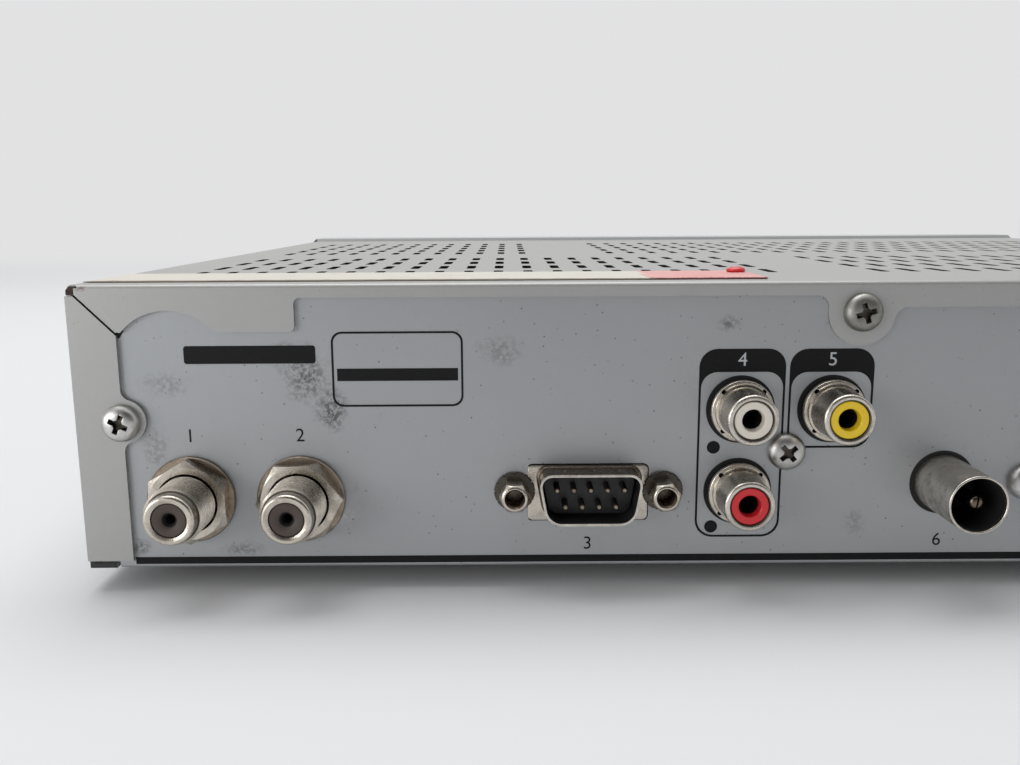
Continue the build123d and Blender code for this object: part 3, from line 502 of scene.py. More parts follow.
@dataclass(frozen=True)
class Backdrop(Finish):
    """Pale paper under and behind the object. Far away, what the camera sees of it is one even tone."""

    far_color: Rgb = tone(226, 226, 227)
    near_edge: float = 0.35
    far_edge: float = 1.1

    def dress(self, graph: Graph) -> None:
        """Fills the material's tree.

        Args:
            graph: The empty graph.
        """
        cloudy = (graph.noise(60.0, 3.0) - 0.5) * 0.1 + 0.05
        color = graph.blend(cloudy, self.color, self.far_color)
        paper = graph.principled(Base_Color=color, Roughness=self.roughness, Specular_IOR_Level=0.15)
        even = graph.node("ShaderNodeEmission", {}, {"Color": self.far_color, "Strength": 1.0})
        depth = (graph.axis("y") * -MM).above(self.near_edge, self.far_edge)
        graph.end_in(graph.node("ShaderNodeMixShader", {}, {0: graph.seen() * depth, 1: paper, 2: even}))


class Coat(Enum):
    """The finishes of the receiver."""

    COVER = BakedPaint(
        "cover paint",
        tone(168, 168, 166),
        0.46,
        metallic=0.5,
        grime=0.12,
        pits=0.2,
        rub_patches=(Patch(2.6, 47.9, 1.5, 0.7, 1.0),),
        rub_color=tone(104, 76, 62),
    )
    # A pale paint that is a painted highlight on the flanges' bevelled edges.
    COVER_EDGE = BakedPaint("painted highlight on cover edge", tone(226, 225, 221), 0.5, pits=0.0, grime=0.3)
    TRIM = BakedPaint("silver trim", tone(184, 185, 186), 0.4, grime=0.05, pits=0.0)
    PANEL = BakedPaint(
        "panel paint",
        tone(164, 166, 168),
        0.46,
        metallic=0.6,
        pits=0.75,
        grime=0.16,
        patches=(
            Patch(38.2, 33.4, 4.6, 6.0, 0.75),
            Patch(42.1, 27.5, 3.6, 4.6, 0.8),
            Patch(35.1, 36.8, 3.2, 3.0, 0.6),
            Patch(14.7, 31.9, 5.5, 2.6, 0.3),
            Patch(70.5, 37.4, 4.5, 3.2, 0.35),
            Patch(108.2, 41.8, 2.4, 2.0, 0.6),
            Patch(12.5, 21.0, 3.0, 4.0, 0.3),
            Patch(9.2, 3.9, 2.2, 1.8, 0.6),
            Patch(26.1, 3.3, 4.0, 1.7, 0.5),
            Patch(130.7, 7.2, 2.6, 3.2, 0.25),
        ),
        rub_patches=(Patch(43.8, 9.0, 3.2, 2.2, 0.55), Patch(103.0, 33.0, 1.2, 4.0, 0.2)),
    )
    CUT_STEEL = Plating("cut steel", tone(198, 197, 193), 0.38, stain=0.3)
    ZINC = Plating("zinc plate", tone(200, 199, 196), 0.3, stain=0.3, stain_color=tone(110, 106, 98))
    DULL_ZINC = Plating(
        "dull zinc plate",
        tone(150, 149, 144),
        0.42,
        stain=0.4,
        stain_color=tone(86, 84, 78),
    )
    NICKEL = Plating("nickel plate", tone(204, 196, 184), 0.22, stain=0.3)
    DULL_NICKEL = Plating("dull nickel plate", tone(150, 138, 124), 0.28, stain=0.45)
    # Nickel tarnished brown, darkened further as painted shade.
    BROWN_NICKEL = Plating(
        "nickel tarnished brown and darkened as painted shade",
        tone(112, 100, 88),
        0.26,
        stain=0.5,
        stain_color=tone(70, 60, 50),
    )
    WORN_NICKEL = Plating(
        "worn nickel plate",
        tone(204, 199, 190),
        0.3,
        stain=0.6,
        stain_color=tone(120, 108, 94),
        uneven=0.2,
        scratch=0.03,
    )
    # Bright nickel; on rims and lips it is a painted highlight.
    BRIGHT_LIP = Plating("bright nickel and painted rim highlight", tone(208, 202, 192), 0.22, stain=0.3)
    # Blackened steel; in recesses, bores and down in sockets it is painted shade.
    DARK_STEEL = Plating("black steel and painted shade", tone(92, 88, 82), 0.42, stain=0.6)
    # A dark underside that is painted shade.
    BARE_STEEL = Plating("underside darkened as painted shade", tone(84, 84, 84), 0.5, stain=0.3)
    # Painted shade for the roots of threads.
    THREAD_DIRT = Moulding("painted shade in thread roots", tone(58, 50, 43), 0.7, dust=0.1)
    BROWN = Moulding("brown insulator", tone(68, 57, 51), 0.55, dust=0.12)
    BLACK = Moulding("black plastic", tone(30, 30, 31), 0.42, dust=0.1)
    # Near-black painted shade, laid on slot walls, holes, bores and gaps where shade falls.
    GAP = Moulding("painted shade in recesses", tone(12, 12, 12), 0.7, dust=0.0)
    WHITE = Moulding("white insulator", tone(214, 206, 194), 0.4, depth=0.004)
    YELLOW = Moulding("yellow insulator", tone(222, 188, 34), 0.38, depth=0.004)
    RED = Moulding("red insulator", tone(196, 34, 40), 0.38, depth=0.004)
    PALE = Moulding("pale insulator", tone(225, 222, 212), 0.45)
    INK = Ink("black ink", tone(10, 10, 11), 0.6)
    LIGHT_INK = Ink("light ink", tone(176, 178, 182), 0.45, tone(120, 121, 124))
    FRONT = Moulding("front plastic", tone(52, 53, 57), 0.42, grain=0.3, depth=0.02)
    BUTTON = Moulding("button plastic", tone(122, 124, 128), 0.36, depth=0.008, shine=0.1)
    SMOKED = Moulding("smoked window", tone(16, 12, 15), 0.08, depth=0.0, shine=1.0, dust=0.03)
    RUBBER = Moulding("foot rubber", tone(34, 34, 34), 0.8, grain=0.2, depth=0.03, dust=0.3)
    TINPLATE = Plating("tinplate", tone(205, 206, 206), 0.25, stain=0.1)
    ALLOY = Plating("heat sink alloy", tone(180, 181, 183), 0.4, stain=0.15)
    BOARD = Laminate("board laminate", tone(28, 82, 42), 0.38)
    BRASS = Plating("brass", tone(206, 178, 108), 0.3, stain=0.3)
    FERRITE = Rust("ferrite", tone(84, 72, 60), 0.7)
    SLEEVE = Moulding("capacitor sleeve", tone(30, 34, 62), 0.3, shine=0.5, depth=0.002)
    GLASS = Moulding("fuse glass", tone(205, 210, 210), 0.1, shine=1.0, depth=0.0)
    HEADER = Moulding("header plastic", tone(228, 224, 212), 0.45)
    CABLE = Moulding("cable plastic", tone(150, 150, 154), 0.5)
    LAMP = Moulding("lamp plastic", tone(190, 40, 34), 0.2, shine=0.8, depth=0.0)
    CLEAR = Moulding("clear plastic", tone(220, 222, 222), 0.15, shine=0.8, depth=0.0)
    TAPE = Tape("pale tape", tone(214, 210, 201), 0.8, tone(196, 190, 176))
    # The near edges of both tapes are darker than the tapes.
    TAPE_EDGE = Tape("darker near edge of tape", tone(142, 132, 118), 0.8, tone(112, 92, 80))
    PINK_TAPE = Tape("pink tape", tone(222, 172, 168), 0.75, tone(214, 132, 128))
    PINK_EDGE = Tape("darker near edge of pink tape", tone(118, 66, 62), 0.8, tone(150, 92, 84))
    RED_WAX = Moulding("red wax", tone(206, 34, 40), 0.4, shine=0.3, dust=0.0)
    # Rust, darkened further as painted shade.
    DARK_RUST = Rust("rust darkened as painted shade", tone(58, 42, 36), 0.8, tone(22, 17, 15))
    CARD = Moulding("grey card", tone(44, 42, 40), 0.9, dust=0.0)
    FLOOR = Backdrop("studio paper", tone(224, 225, 227), 0.85)


# ---------------------------------------------------------------- Case frame and pieces
@dataclass
class Case:
    """Sizes of the case that other pieces are placed by."""

    width: float = 260.0
    height: float = 48.5
    base: float = 4.0
    rear: float = 103.9
    front: float = -116.1
    sheet: float = 0.8

    def seat(self, across: float, height: float, out: float = 0.0, turn: float = 0.0) -> Matrix:
        """A place on the rear wall, for a piece in millimetres with x to the right, y up and z outwards.

        Args:
            across: From the case's left outer edge, seen from behind.
            height: Above the underside of the base.
            out: From the wall's outer face.
            turn: Turn in the wall's plane, in degrees.

        Returns:
            The matrix from the piece's millimetres to the frame's metres.
        """
        spot = Vector((self.width / 2 - across, self.rear + out, self.base + height)) * MM
        facing = Matrix(((-1, 0, 0), (0, 0, 1), (0, 1, 0))).to_4x4()
        turned = Matrix.Rotation(math.radians(turn), 4, "Z")
        return Matrix.Translation(spot) @ facing @ turned @ Matrix.Scale(MM, 4)

    def top_seat(self, across: float, back: float, lift: float) -> Matrix:
        """A place on the top, this far before the rear wall, for a piece that lies flat with z upwards."""
        lying = Matrix.Rotation(math.radians(-90), 4, "X")
        return self.seat(across, self.height + lift, -back) @ lying

    def front_seat(self, across: float, height: float, out: float = 0.0) -> Matrix:
        """A place on the front, for a piece in millimetres with x to the right as seen from the front.

        Args:
            across: To the right of the middle, seen from the front.
            height: Above the underside of the base.
            out: Forward of the front's face.

        Returns:
            The matrix from the piece's millimetres to the frame's metres.
        """
        spot = Vector((across, self.front - out, self.base + height)) * MM
        facing = Matrix(((1, 0, 0), (0, 0, -1), (0, 1, 0))).to_4x4()
        return Matrix.Translation(spot) @ facing @ Matrix.Scale(MM, 4)


class Join(Enum):
    """How one piece is combined with another."""

    CUT = "DIFFERENCE"
    KEEP = "INTERSECT"
    ADD = "UNION"


class Piece:
    """One mesh while it is modelled, in millimetres until it is seated."""

    def __init__(self, obj: bpy.types.Object, place: Matrix | None = None) -> None:
        """Keeps the object, and the matrix from the piece's millimetres to its mesh."""
        self.obj = obj
        self.place = Matrix() if place is None else place

    @staticmethod
    def clear_selection() -> None:
        """Leaves edit mode and deselects everything."""
        if bpy.context.object and bpy.context.object.mode != "OBJECT":
            bpy.ops.object.mode_set(mode="OBJECT")
        bpy.ops.object.select_all(action="DESELECT")

    def pick(self) -> None:
        """Makes this the one selected and active object."""
        self.clear_selection()
        self.obj.select_set(True)
        bpy.context.view_layer.objects.active = self.obj

    @classmethod
    def start(cls, name: str, add: Callable[..., object], **sizes: object) -> Piece:
        """Adds a primitive.

        Args:
            name: The piece's name.
            add: The operator that adds it.
            sizes: The operator's settings, and the scale that the primitive then gets.

        Returns:
            The piece, with its place in its mesh.
        """
        cls.clear_selection()
        scale = sizes.pop("scale", (1.0, 1.0, 1.0))
        add(**sizes)
        piece = cls(bpy.context.object)
        piece.obj.name = piece.obj.data.name = name
        piece.obj.scale = scale
        bpy.ops.object.transform_apply(location=True, rotation=True, scale=True)
        return piece

    @classmethod
    def block(cls, name: str, size: Sequence[float], middle: Sequence[float] = (0.0, 0.0, 0.0)) -> Piece:
        """A rectangular block about its middle, as the start of a piece or as a cutter."""
        return cls.start(name, bpy.ops.mesh.primitive_cube_add, size=1.0, scale=size, location=middle)

    @classmethod
    def prism(cls, name: str, sides: int, radius: float, low: float, high: float, turn: float = 0.0) -> Piece:
        """An upright prism or drum.

        Args:
            name: The piece's name.
            sides: Number of its sides.
            radius: Radius over its corners.
            low: Height of its foot.
            high: Height of its top.
            turn: Turn about its axis, in degrees.

        Returns:
            The piece.
        """
        return cls.start(
            name,
            bpy.ops.mesh.primitive_cylinder_add,
            vertices=sides,
            radius=radius,
            depth=high - low,
            location=(0.0, 0.0, (low + high) / 2),
            rotation=(0.0, 0.0, math.radians(turn)),
        )

    @classmethod
    def traced(cls, name: str, points: Sequence[Sequence[float]]) -> Piece:
        """A line that a point is extruded along. It stays in edit mode, all of it selected.

        Args:
            name: The piece's name.
            points: The places that the point goes to.

        Returns:
            The piece.
        """
        piece = cls.start(name, bpy.ops.mesh.primitive_plane_add, size=0.1, location=points[0])
        bpy.ops.object.mode_set(mode="EDIT")
        bpy.ops.mesh.select_mode(type="VERT")
        bpy.ops.mesh.select_all(action="SELECT")
        bpy.ops.mesh.merge(type="CENTER")
        for here, there in zip(points, points[1:]):
            step = tuple(new - old for old, new in zip(here, there))
            bpy.ops.mesh.extrude_region_move(TRANSFORM_OT_translate={"value": step})
        bpy.ops.mesh.select_all(action="SELECT")
        return piece

    @classmethod
    def lathe(cls, name: str, profile: Sequence[Point], steps: int = 56) -> Piece:
        """A turned form: a profile that is spun round the axis.

        Args:
            name: The piece's name.
            profile: Its (radius, height) points. One that starts off the axis is closed into a ring.
            steps: Number of its sides.

        Returns:
            The piece.
        """
        closing = profile[:1] if profile[0][0] else []
        line = [(radius, 0.0, height) for radius, height in (*profile, *closing)]
        piece = cls.traced(name, line)
        bpy.ops.mesh.spin(steps=steps, angle=2 * math.pi, center=(0, 0, 0), axis=(0, 0, 1))
        piece.mend()
        return piece

    @classmethod
    def ring(cls, name: str, inner: float, outer: float, low: float, high: float, steps: int = 56) -> Piece:
        """A flat ring between two radii and two heights."""
        return cls.lathe(name, [(inner, low), (outer, low), (outer, high), (inner, high)], steps)

    @classmethod
    def plate(
        cls,
        name: str,
        size: Point,
        thickness: float,
        radius: float = 0.0,
        taper: float = 1.0,
        at: Point = (0.0, 0.0),
    ) -> Piece:
        """A flat plate with rounded corners that lies on z = 0.

        Args:
            name: The piece's name.
            size: Width and height.
            thickness: How far it rises.
            radius: Radius of its corners.
            taper: Width of its lower edge over that of its upper edge.
            at: Its middle.

        Returns:
            The piece.
        """
        piece = cls.start(
            name, bpy.ops.mesh.primitive_plane_add, size=1.0, scale=(*size, 1.0), location=(*at, 0.0)
        )
        if taper != 1.0:
            with piece.selected(points=lambda place: place.y < at[1]):
                bpy.ops.transform.resize(value=(taper, 1.0, 1.0), center_override=(*at, 0.0))
        if radius:
            with piece.selected(points=lambda place: True):
                bpy.ops.mesh.bevel(offset=radius, segments=7, affect="VERTICES")
        piece.modify("SOLIDIFY", thickness=thickness, offset=1.0)
        return piece

    @classmethod
    def cutout(cls, name: str, outline: Sequence[Point], thickness: float) -> Piece:
        """A flat sheet with any outline that lies on z = 0.

        Args:
            name: The piece's name.
            outline: Its corners in order.
            thickness: How far it rises.

        Returns:
            The piece.
        """
        piece = cls.traced(name, [(*point, 0.0) for point in outline])
        bpy.ops.mesh.edge_face_add()
        bpy.ops.object.mode_set(mode="OBJECT")
        piece.modify("SOLIDIFY", thickness=thickness, offset=0.0).mend()
        return piece.moved(z=thickness / 2)

    @classmethod
    def from_node(cls, node: str, name: str) -> Piece:
        """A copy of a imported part, whose facets are merged again.

        Args:
            node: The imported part's name.
            name: The piece's name.

        Returns:
            The piece, in metres and in its place.
        """
        cls.clear_selection()
        source = bpy.data.objects[node]
        obj = source.copy()
        obj.data = source.data.copy()
        for key in [key for key in obj.keys() if key.startswith("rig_")]:
            del obj[key]
        obj.parent = None
        obj.name = obj.data.name = name
        bpy.context.scene.collection.objects.link(obj)
        piece = cls(obj, Matrix.Scale(MM, 4))
        piece.pick()
        bpy.ops.object.mode_set(mode="EDIT")
        bpy.ops.mesh.select_all(action="SELECT")
        bpy.ops.mesh.remove_doubles(threshold=0.000002)
        bpy.ops.mesh.dissolve_limited(angle_limit=math.radians(0.6))
        bpy.ops.object.mode_set(mode="OBJECT")
        return piece

    def select(self, points: Callable[[Vector], bool] | None, faces: Choice | None) -> None:
        """Goes into edit mode and selects points or faces.

        Args:
            points: Tells of a point's place whether it is selected.
            faces: Tells of a face's middle and normal whether it is selected.
        """
        self.pick()
        bpy.ops.object.mode_set(mode="EDIT")
        bpy.ops.mesh.select_mode(type="VERT" if points else "FACE")
        bpy.ops.mesh.select_all(action="DESELECT")
        mesh = bmesh.from_edit_mesh(self.obj.data)
        if points:
            for vertex in mesh.verts:
                vertex.select_set(points(vertex.co))
        if faces:
            for face in mesh.faces:
                face.select_set(faces(face.calc_center_median(), face.normal))
        mesh.select_flush_mode()
        bmesh.update_edit_mesh(self.obj.data)

    @contextmanager
    def selected(
        self, points: Callable[[Vector], bool] | None = None, faces: Choice | None = None
    ) -> Iterator[None]:
        """Edit mode with these points or faces selected, for a with statement."""
        self.select(points, faces)
        yield
        bpy.ops.object.mode_set(mode="OBJECT")

    def mend(self) -> None:
        """Merges doubled points and turns all faces outwards, then leaves edit mode."""
        if self.obj.mode != "EDIT":
            self.pick()
            bpy.ops.object.mode_set(mode="EDIT")
        bpy.ops.mesh.select_all(action="SELECT")
        bpy.ops.mesh.remove_doubles(threshold=0.0005)
        bpy.ops.mesh.normals_make_consistent(inside=False)
        bpy.ops.object.mode_set(mode="OBJECT")

    def modify(self, kind: str, **settings: object) -> Piece:
        """Adds a modifier and applies it.

        Args:
            kind: The modifier's type.
            settings: Its settings.

        Returns:
            The piece.
        """
        modifier = self.obj.modifiers.new(kind.lower(), kind)
        for key, value in settings.items():
            setattr(modifier, key, value)
        self.pick()
        bpy.ops.object.modifier_apply(modifier=modifier.name)
        return self

    def bevel(self, width: float, segments: int = 2, angle: float = 30.0) -> Piece:
        """Rounds the sharp edges.

        Args:
            width: Width of the rounding in millimetres.
            segments: Its faces.
            angle: Least angle of an edge that is rounded, in degrees.

        Returns:
            The piece.
        """
        return self.modify(
            "BEVEL",
            width=width * self.place.median_scale,
            segments=segments,
            limit_method="ANGLE",
            angle_limit=math.radians(angle),
            use_clamp_overlap=True,
        )

    def combine(self, other: Piece, how: Join) -> Piece:
        """Cuts, keeps or adds another piece, which is then gone.

        Args:
            other: The other piece.
            how: How they are combined.

        Returns:
            The piece.
        """
        self.modify("BOOLEAN", operation=how.value, object=other.obj, solver="EXACT")
        bpy.data.objects.remove(other.obj)
        return self

    def applied(self, matrix: Matrix) -> Piece:
        """Takes the mesh through a matrix.

        Args:
            matrix: The matrix.

        Returns:
            The piece.
        """
        self.pick()
        self.obj.matrix_world = matrix
        bpy.ops.object.transform_apply(location=True, rotation=True, scale=True)
        return self

    def turned(self, degrees: float) -> Piece:
        """Turns the piece about its upright axis."""
        return self.applied(Matrix.Rotation(math.radians(degrees), 4, "Z"))

    def moved(self, x: float = 0.0, y: float = 0.0, z: float = 0.0) -> Piece:
        """Moves the piece."""
        return self.applied(Matrix.Translation((x, y, z)))

    def seated(self, matrix: Matrix) -> Piece:
        """Takes the piece from its own millimetres to its place in the frame."""
        self.place = matrix
        return self.applied(matrix)

    def twin(self, name: str) -> Piece:
        """A copy with a mesh of its own.

        Args:
            name: The copy's name.

        Returns:
            The copy.
        """
        obj = self.obj.copy()
        obj.data = self.obj.data.copy()
        obj.name = obj.data.name = name
        bpy.context.scene.collection.objects.link(obj)
        return Piece(obj, self.place)

    def placed(self, name: str, seat: Matrix, coat: Coat, angle: float = 32.0) -> Piece:
        """A copy in its place, with its main finish."""
        return self.twin(name).seated(seat).coat(coat, angle)

    def discard(self) -> None:
        """Removes the piece."""
        bpy.data.objects.remove(self.obj)

    def coat_where(self, coat: Coat, faces: Choice) -> Piece:
        """Gives some faces a finish of their own. It comes after the main finish.

        Args:
            coat: The finish.
            faces: Tells of a face's middle and normal, as they are in the piece's own millimetres
                before it was seated, whether it has the finish.

        Returns:
            The piece.
        """
        self.obj.data.materials.append(coat.value.material())
        number = len(self.obj.data.materials) - 1
        back = self.place.inverted()
        unturned = back.to_3x3()
        for polygon in self.obj.data.polygons:
            if faces(back @ polygon.center, (unturned @ polygon.normal).normalized()):
                polygon.material_index = number
        return self

    def coat(self, coat: Coat, angle: float = 32.0) -> Piece:
        """Gives the piece its main finish and smooth shading.

        Args:
            coat: The finish.
            angle: Angle up to which an edge looks smooth, in degrees.

        Returns:
            The piece.
        """
        self.obj.data.materials.clear()
        self.obj.data.materials.append(coat.value.material())
        self.pick()
        bpy.ops.object.shade_smooth_by_angle(angle=math.radians(angle))
        return self

    def level(self) -> Piece:
        """Lets large flat faces look flat up to their rounded edges."""
        return self.modify("WEIGHTED_NORMAL", keep_sharp=True)

    def fix(self, slot: str, body: str = "case", replaces: Sequence[str] = ()) -> Piece:
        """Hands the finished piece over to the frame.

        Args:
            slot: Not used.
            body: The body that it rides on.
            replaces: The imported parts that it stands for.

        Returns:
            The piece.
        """
        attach(self.obj, body)
        if replaces:
            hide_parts(*replaces)
        LOG.info("%s on %s, %d faces", self.obj.name, body, len(self.obj.data.polygons))
        return self


def steps_round(middle: Point, radius: float, start: float, end: float, steps: int = 5) -> list[Point]:
    """Points of an arc of a profile.

    Args:
        middle: Its middle, as (radius, height).
        radius: Its radius.
        start: Angle of its first point, in degrees from outwards.
        end: Angle of its last point.
        steps: Number of its parts.

    Returns:
        The points.
    """
    angles = [math.radians(start + (end - start) * step / steps) for step in range(steps + 1)]
    return [(middle[0] + radius * math.cos(a), middle[1] + radius * math.sin(a)) for a in angles]


def joined(name: str, pieces: Sequence[Piece]) -> Piece:
    """Joins pieces into one mesh.

    Args:
        name: The name of the whole.
        pieces: The pieces, whose finishes are kept.

    Returns:
        The whole.
    """
    pieces[0].pick()
    for piece in pieces[1:]:
        piece.obj.select_set(True)
    bpy.ops.object.join()
    pieces[0].obj.name = pieces[0].obj.data.name = name
    return pieces[0]


# ---------------------------------------------------------------- Case
@dataclass
class Cover:
    """Folded and perforated cover with its bright cut edges, painted highlights on its edge bevels, tape and
    rust.
    """

    case: Case
    edge: float = 0.16
    slot: Point = (1.8, 9.3)
    slot_rounding: float = 0.85
    slot_pitch: Point = (5.65, 15.5)
    slot_groups: tuple[tuple[float, float, int, int], ...] = (
        (13.6, 25.6, 20, 4),
        (141.8, 25.6, 18, 4),
        (13.6, 102.3, 12, 5),
        (99.2, 102.3, 26, 5),
    )
    field_low: Point = (-116.0, -80.0)
    field_high: Point = (121.0, 84.0)
    corner_sheet: tuple[Point, ...] = (
        (1.55, 46.95),
        (7.75, 40.75),
        (8.45, 40.75),
        (4.2, 46.4),
        (4.2, 48.0),
        (1.55, 48.0),
    )
    mitre_gap: tuple[Point, ...] = ((0.9, 46.4), (8.0, 39.6), (8.9, 40.9), (2.2, 47.9))
    corner_notch: tuple[Point, ...] = ((0.15, 46.9), (1.7, 46.9), (1.7, 48.25), (0.75, 48.25), (0.2, 47.7))
    tape_thickness: float = 0.12
    tape_near: float = 4.0
    tape_far: float = 23.2
    dark_edge_width: float = 1.4

    def on_wall(self, name: str, outline: Sequence[Point], thickness: float) -> Piece:
        """A flat sheet that lies on the rear wall's face, by its outline across and in height."""
        return Piece.cutout(name, outline, thickness).seated(self.case.seat(0.0, 0.0))

    def field(self, name: str, spare: float = 0.0) -> Piece:
        """The part of the top that carries the slots.

        Args:
            name: The piece's name.
            spare: How far it goes past both faces of the sheet.

        Returns:
            The piece, in millimetres.
        """
        (west, south), (east, north) = self.field_low, self.field_high
        size = (east - west, north - south, self.case.sheet + 2 * spare)
        level = self.case.base + self.case.height - self.case.sheet / 2
        return Piece.block(name, size, ((west + east) / 2, (south + north) / 2, level))

    def perforated_top(self) -> None:
        """The slotted part of the top, with painted shade on the slot walls."""
        top = self.field("perforated_top")
        level = self.case.base + self.case.height
        groups = []
        for across, back, columns, rows in self.slot_groups:
            first = (self.case.width / 2 - across, self.case.rear - back)
            slot = Piece.plate("cutter", self.slot, 4.0, self.slot_rounding, at=first)
            for count, step in (
                (columns, (-self.slot_pitch[0], 0.0, 0.0)),
                (rows, (0.0, -self.slot_pitch[1], 0.0)),
            ):
                slot.modify(
                    "ARRAY",
                    count=count,
                    use_relative_offset=False,
                    use_constant_offset=True,
                    constant_offset_displace=step,
                )
            groups.append(slot.moved(z=level - 2.0))
        top.combine(joined("cutter", groups), Join.CUT).seated(Matrix.Scale(MM, 4)).coat(Coat.COVER)
        (west, south), (east, north) = self.field_low, self.field_high

        def in_slot_shade(at: Vector, facing: Vector) -> bool:
            """Whether a face is upright and inside the field's own rim: a slot wall, which gets painted
            shade.
            """
            inside = west + 1 < at.x < east - 1 and south + 1 < at.y < north - 1
            return abs(facing.z) < 0.5 and inside

        # The slot walls get painted shade instead of the cover's paint.
        top.coat_where(Coat.GAP, in_slot_shade).fix("cover_paint", replaces=["top_cover"])

    def sheet_metal(self) -> None:
        """The cover round the slots, with painted highlights on its flanges' edge bevels, bare steel on their
        cut sides and painted shade on the hem.
        """
        case = self.case
        cover = Piece.from_node("top_cover", "cover_sheet")
        cover.combine(self.on_wall("cutter", self.corner_sheet, case.sheet), Join.ADD)
        cover.combine(self.field("cutter", 3.0).seated(Matrix.Scale(MM, 4)), Join.CUT)
        cover.bevel(self.edge, 2).coat(Coat.COVER).level()
        wall, out = case.rear - 0.05, case.rear + case.sheet + 0.05
        side, fold, hem = case.width / 2 - 1.0, case.base + case.height - 1.6, case.base + 1.4

        def on_flange(at: Vector) -> bool:
            """Whether a place is in a rear flange's metal, clear of the folds."""
            return wall < at.y < out and at.z < fold and abs(at.x) < side

        # The bevels along the flanges' edges get a pale paint as a painted highlight.
        cover.coat_where(Coat.COVER_EDGE, lambda at, facing: on_flange(at) and 0.25 < facing.y < 0.93)
        cover.coat_where(Coat.CUT_STEEL, lambda at, facing: on_flange(at) and abs(facing.y) <= 0.25)
        # The rear faces of the hem, low down, are black as painted shade, where the hem's inside lies in
        # shadow.
        cover.coat_where(Coat.BLACK, lambda at, facing: at.z < hem and facing.y > 0.3)
        cover.fix("cover_paint", replaces=["top_cover"])

    def shadow_gaps(self) -> None:
        """What shows in the mitres and corner notches: painted shade in the mitres, and rust darkened as
        painted shade in the notches.
        """
        for side in ("left", "right"):
            # The mitre sheets are painted shade; the notch blocks are rust darkened as painted shade.
            for name, shape, thickness, coat in (
                ("mitre_gap", self.mitre_gap, 0.03, Coat.GAP),
                ("corner_notch", self.corner_notch, 0.6, Coat.DARK_RUST),
            ):
                if side == "right":
                    shape = [(self.case.width - across, height) for across, height in shape]
                self.on_wall(f"{name}_{side}", shape, thickness).coat(coat).fix("cover_paint")

    def strip(
        self, name: str, ends: Point, coat: Coat, edge_coat: Coat, lift: float, taper: float = 1.0
    ) -> None:
        """A strip of tape on the top, with torn ends.

        Args:
            name: Its name.
            ends: Across, its two ends.
            coat: Its finish.
            edge_coat: Finish of its near edge.
            lift: Height of its underside above the cover.
            taper: Width of its last end over its own width.
        """
        size = (ends[1] - ends[0], self.tape_far - self.tape_near)
        tape = Piece.start(
            name,
            bpy.ops.mesh.primitive_grid_add,
            x_subdivisions=64,
            y_subdivisions=11,
            size=1.0,
            scale=(*size, 1.0),
        )
        for side, gather in ((-1, 1.0), (1, taper)):
            with tape.selected(points=lambda at: at.x * side > size[0] / 2 - 0.01):
                bpy.ops.transform.vertex_random(offset=0.7, seed=7 + side)
                bpy.ops.transform.resize(value=(1.0, gather, 1.0), center_override=(0, -size[1] * 0.38, 0))
        with tape.selected(points=lambda at: abs(at.y) > size[1] / 2 - 0.01):
            bpy.ops.transform.vertex_random(offset=0.25, seed=3)
        with tape.selected(points=lambda at: True):
            bpy.ops.transform.resize(value=(1.0, 1.0, 0.0), center_override=(0, 0, 0))
        with tape.selected(points=lambda at: abs(at.y) < size[1] / 2 - 0.5):
            bpy.ops.transform.vertex_random(offset=0.05, seed=5)
        tape.modify("SOLIDIFY", thickness=self.tape_thickness, offset=1.0)
        middle = (self.tape_near + self.tape_far) / 2
        tape.seated(self.case.top_seat(sum(ends) / 2, middle, lift)).coat(coat)
        # The tape's near edge is darker.
        tape.coat_where(edge_coat, lambda at, facing: at.y < self.dark_edge_width - size[1] / 2).fix("cover_paint")

    def build(self) -> None:
        """Builds the cover and what is stuck to it."""
        self.sheet_metal()
        self.perforated_top()
        self.shadow_gaps()
        self.strip("edge_tape", (1.2, 96.4), Coat.TAPE, Coat.TAPE_EDGE, 0.08)
        self.strip("edge_tape_end", (95.6, 115.5), Coat.PINK_TAPE, Coat.PINK_EDGE, 0.1, 0.4)
        crumb = Piece.start("wax_crumb", bpy.ops.mesh.primitive_ico_sphere_add, subdivisions=3, radius=1.0)
        with crumb.selected(points=lambda at: True):
            bpy.ops.transform.resize(value=(1.75, 1.3, 0.62))
            bpy.ops.transform.vertex_random(offset=0.14, seed=11)
        crumb.seated(self.case.top_seat(113.3, 18.5, 0.6)).coat(Coat.RED_WAX, 60).fix("cover_paint")


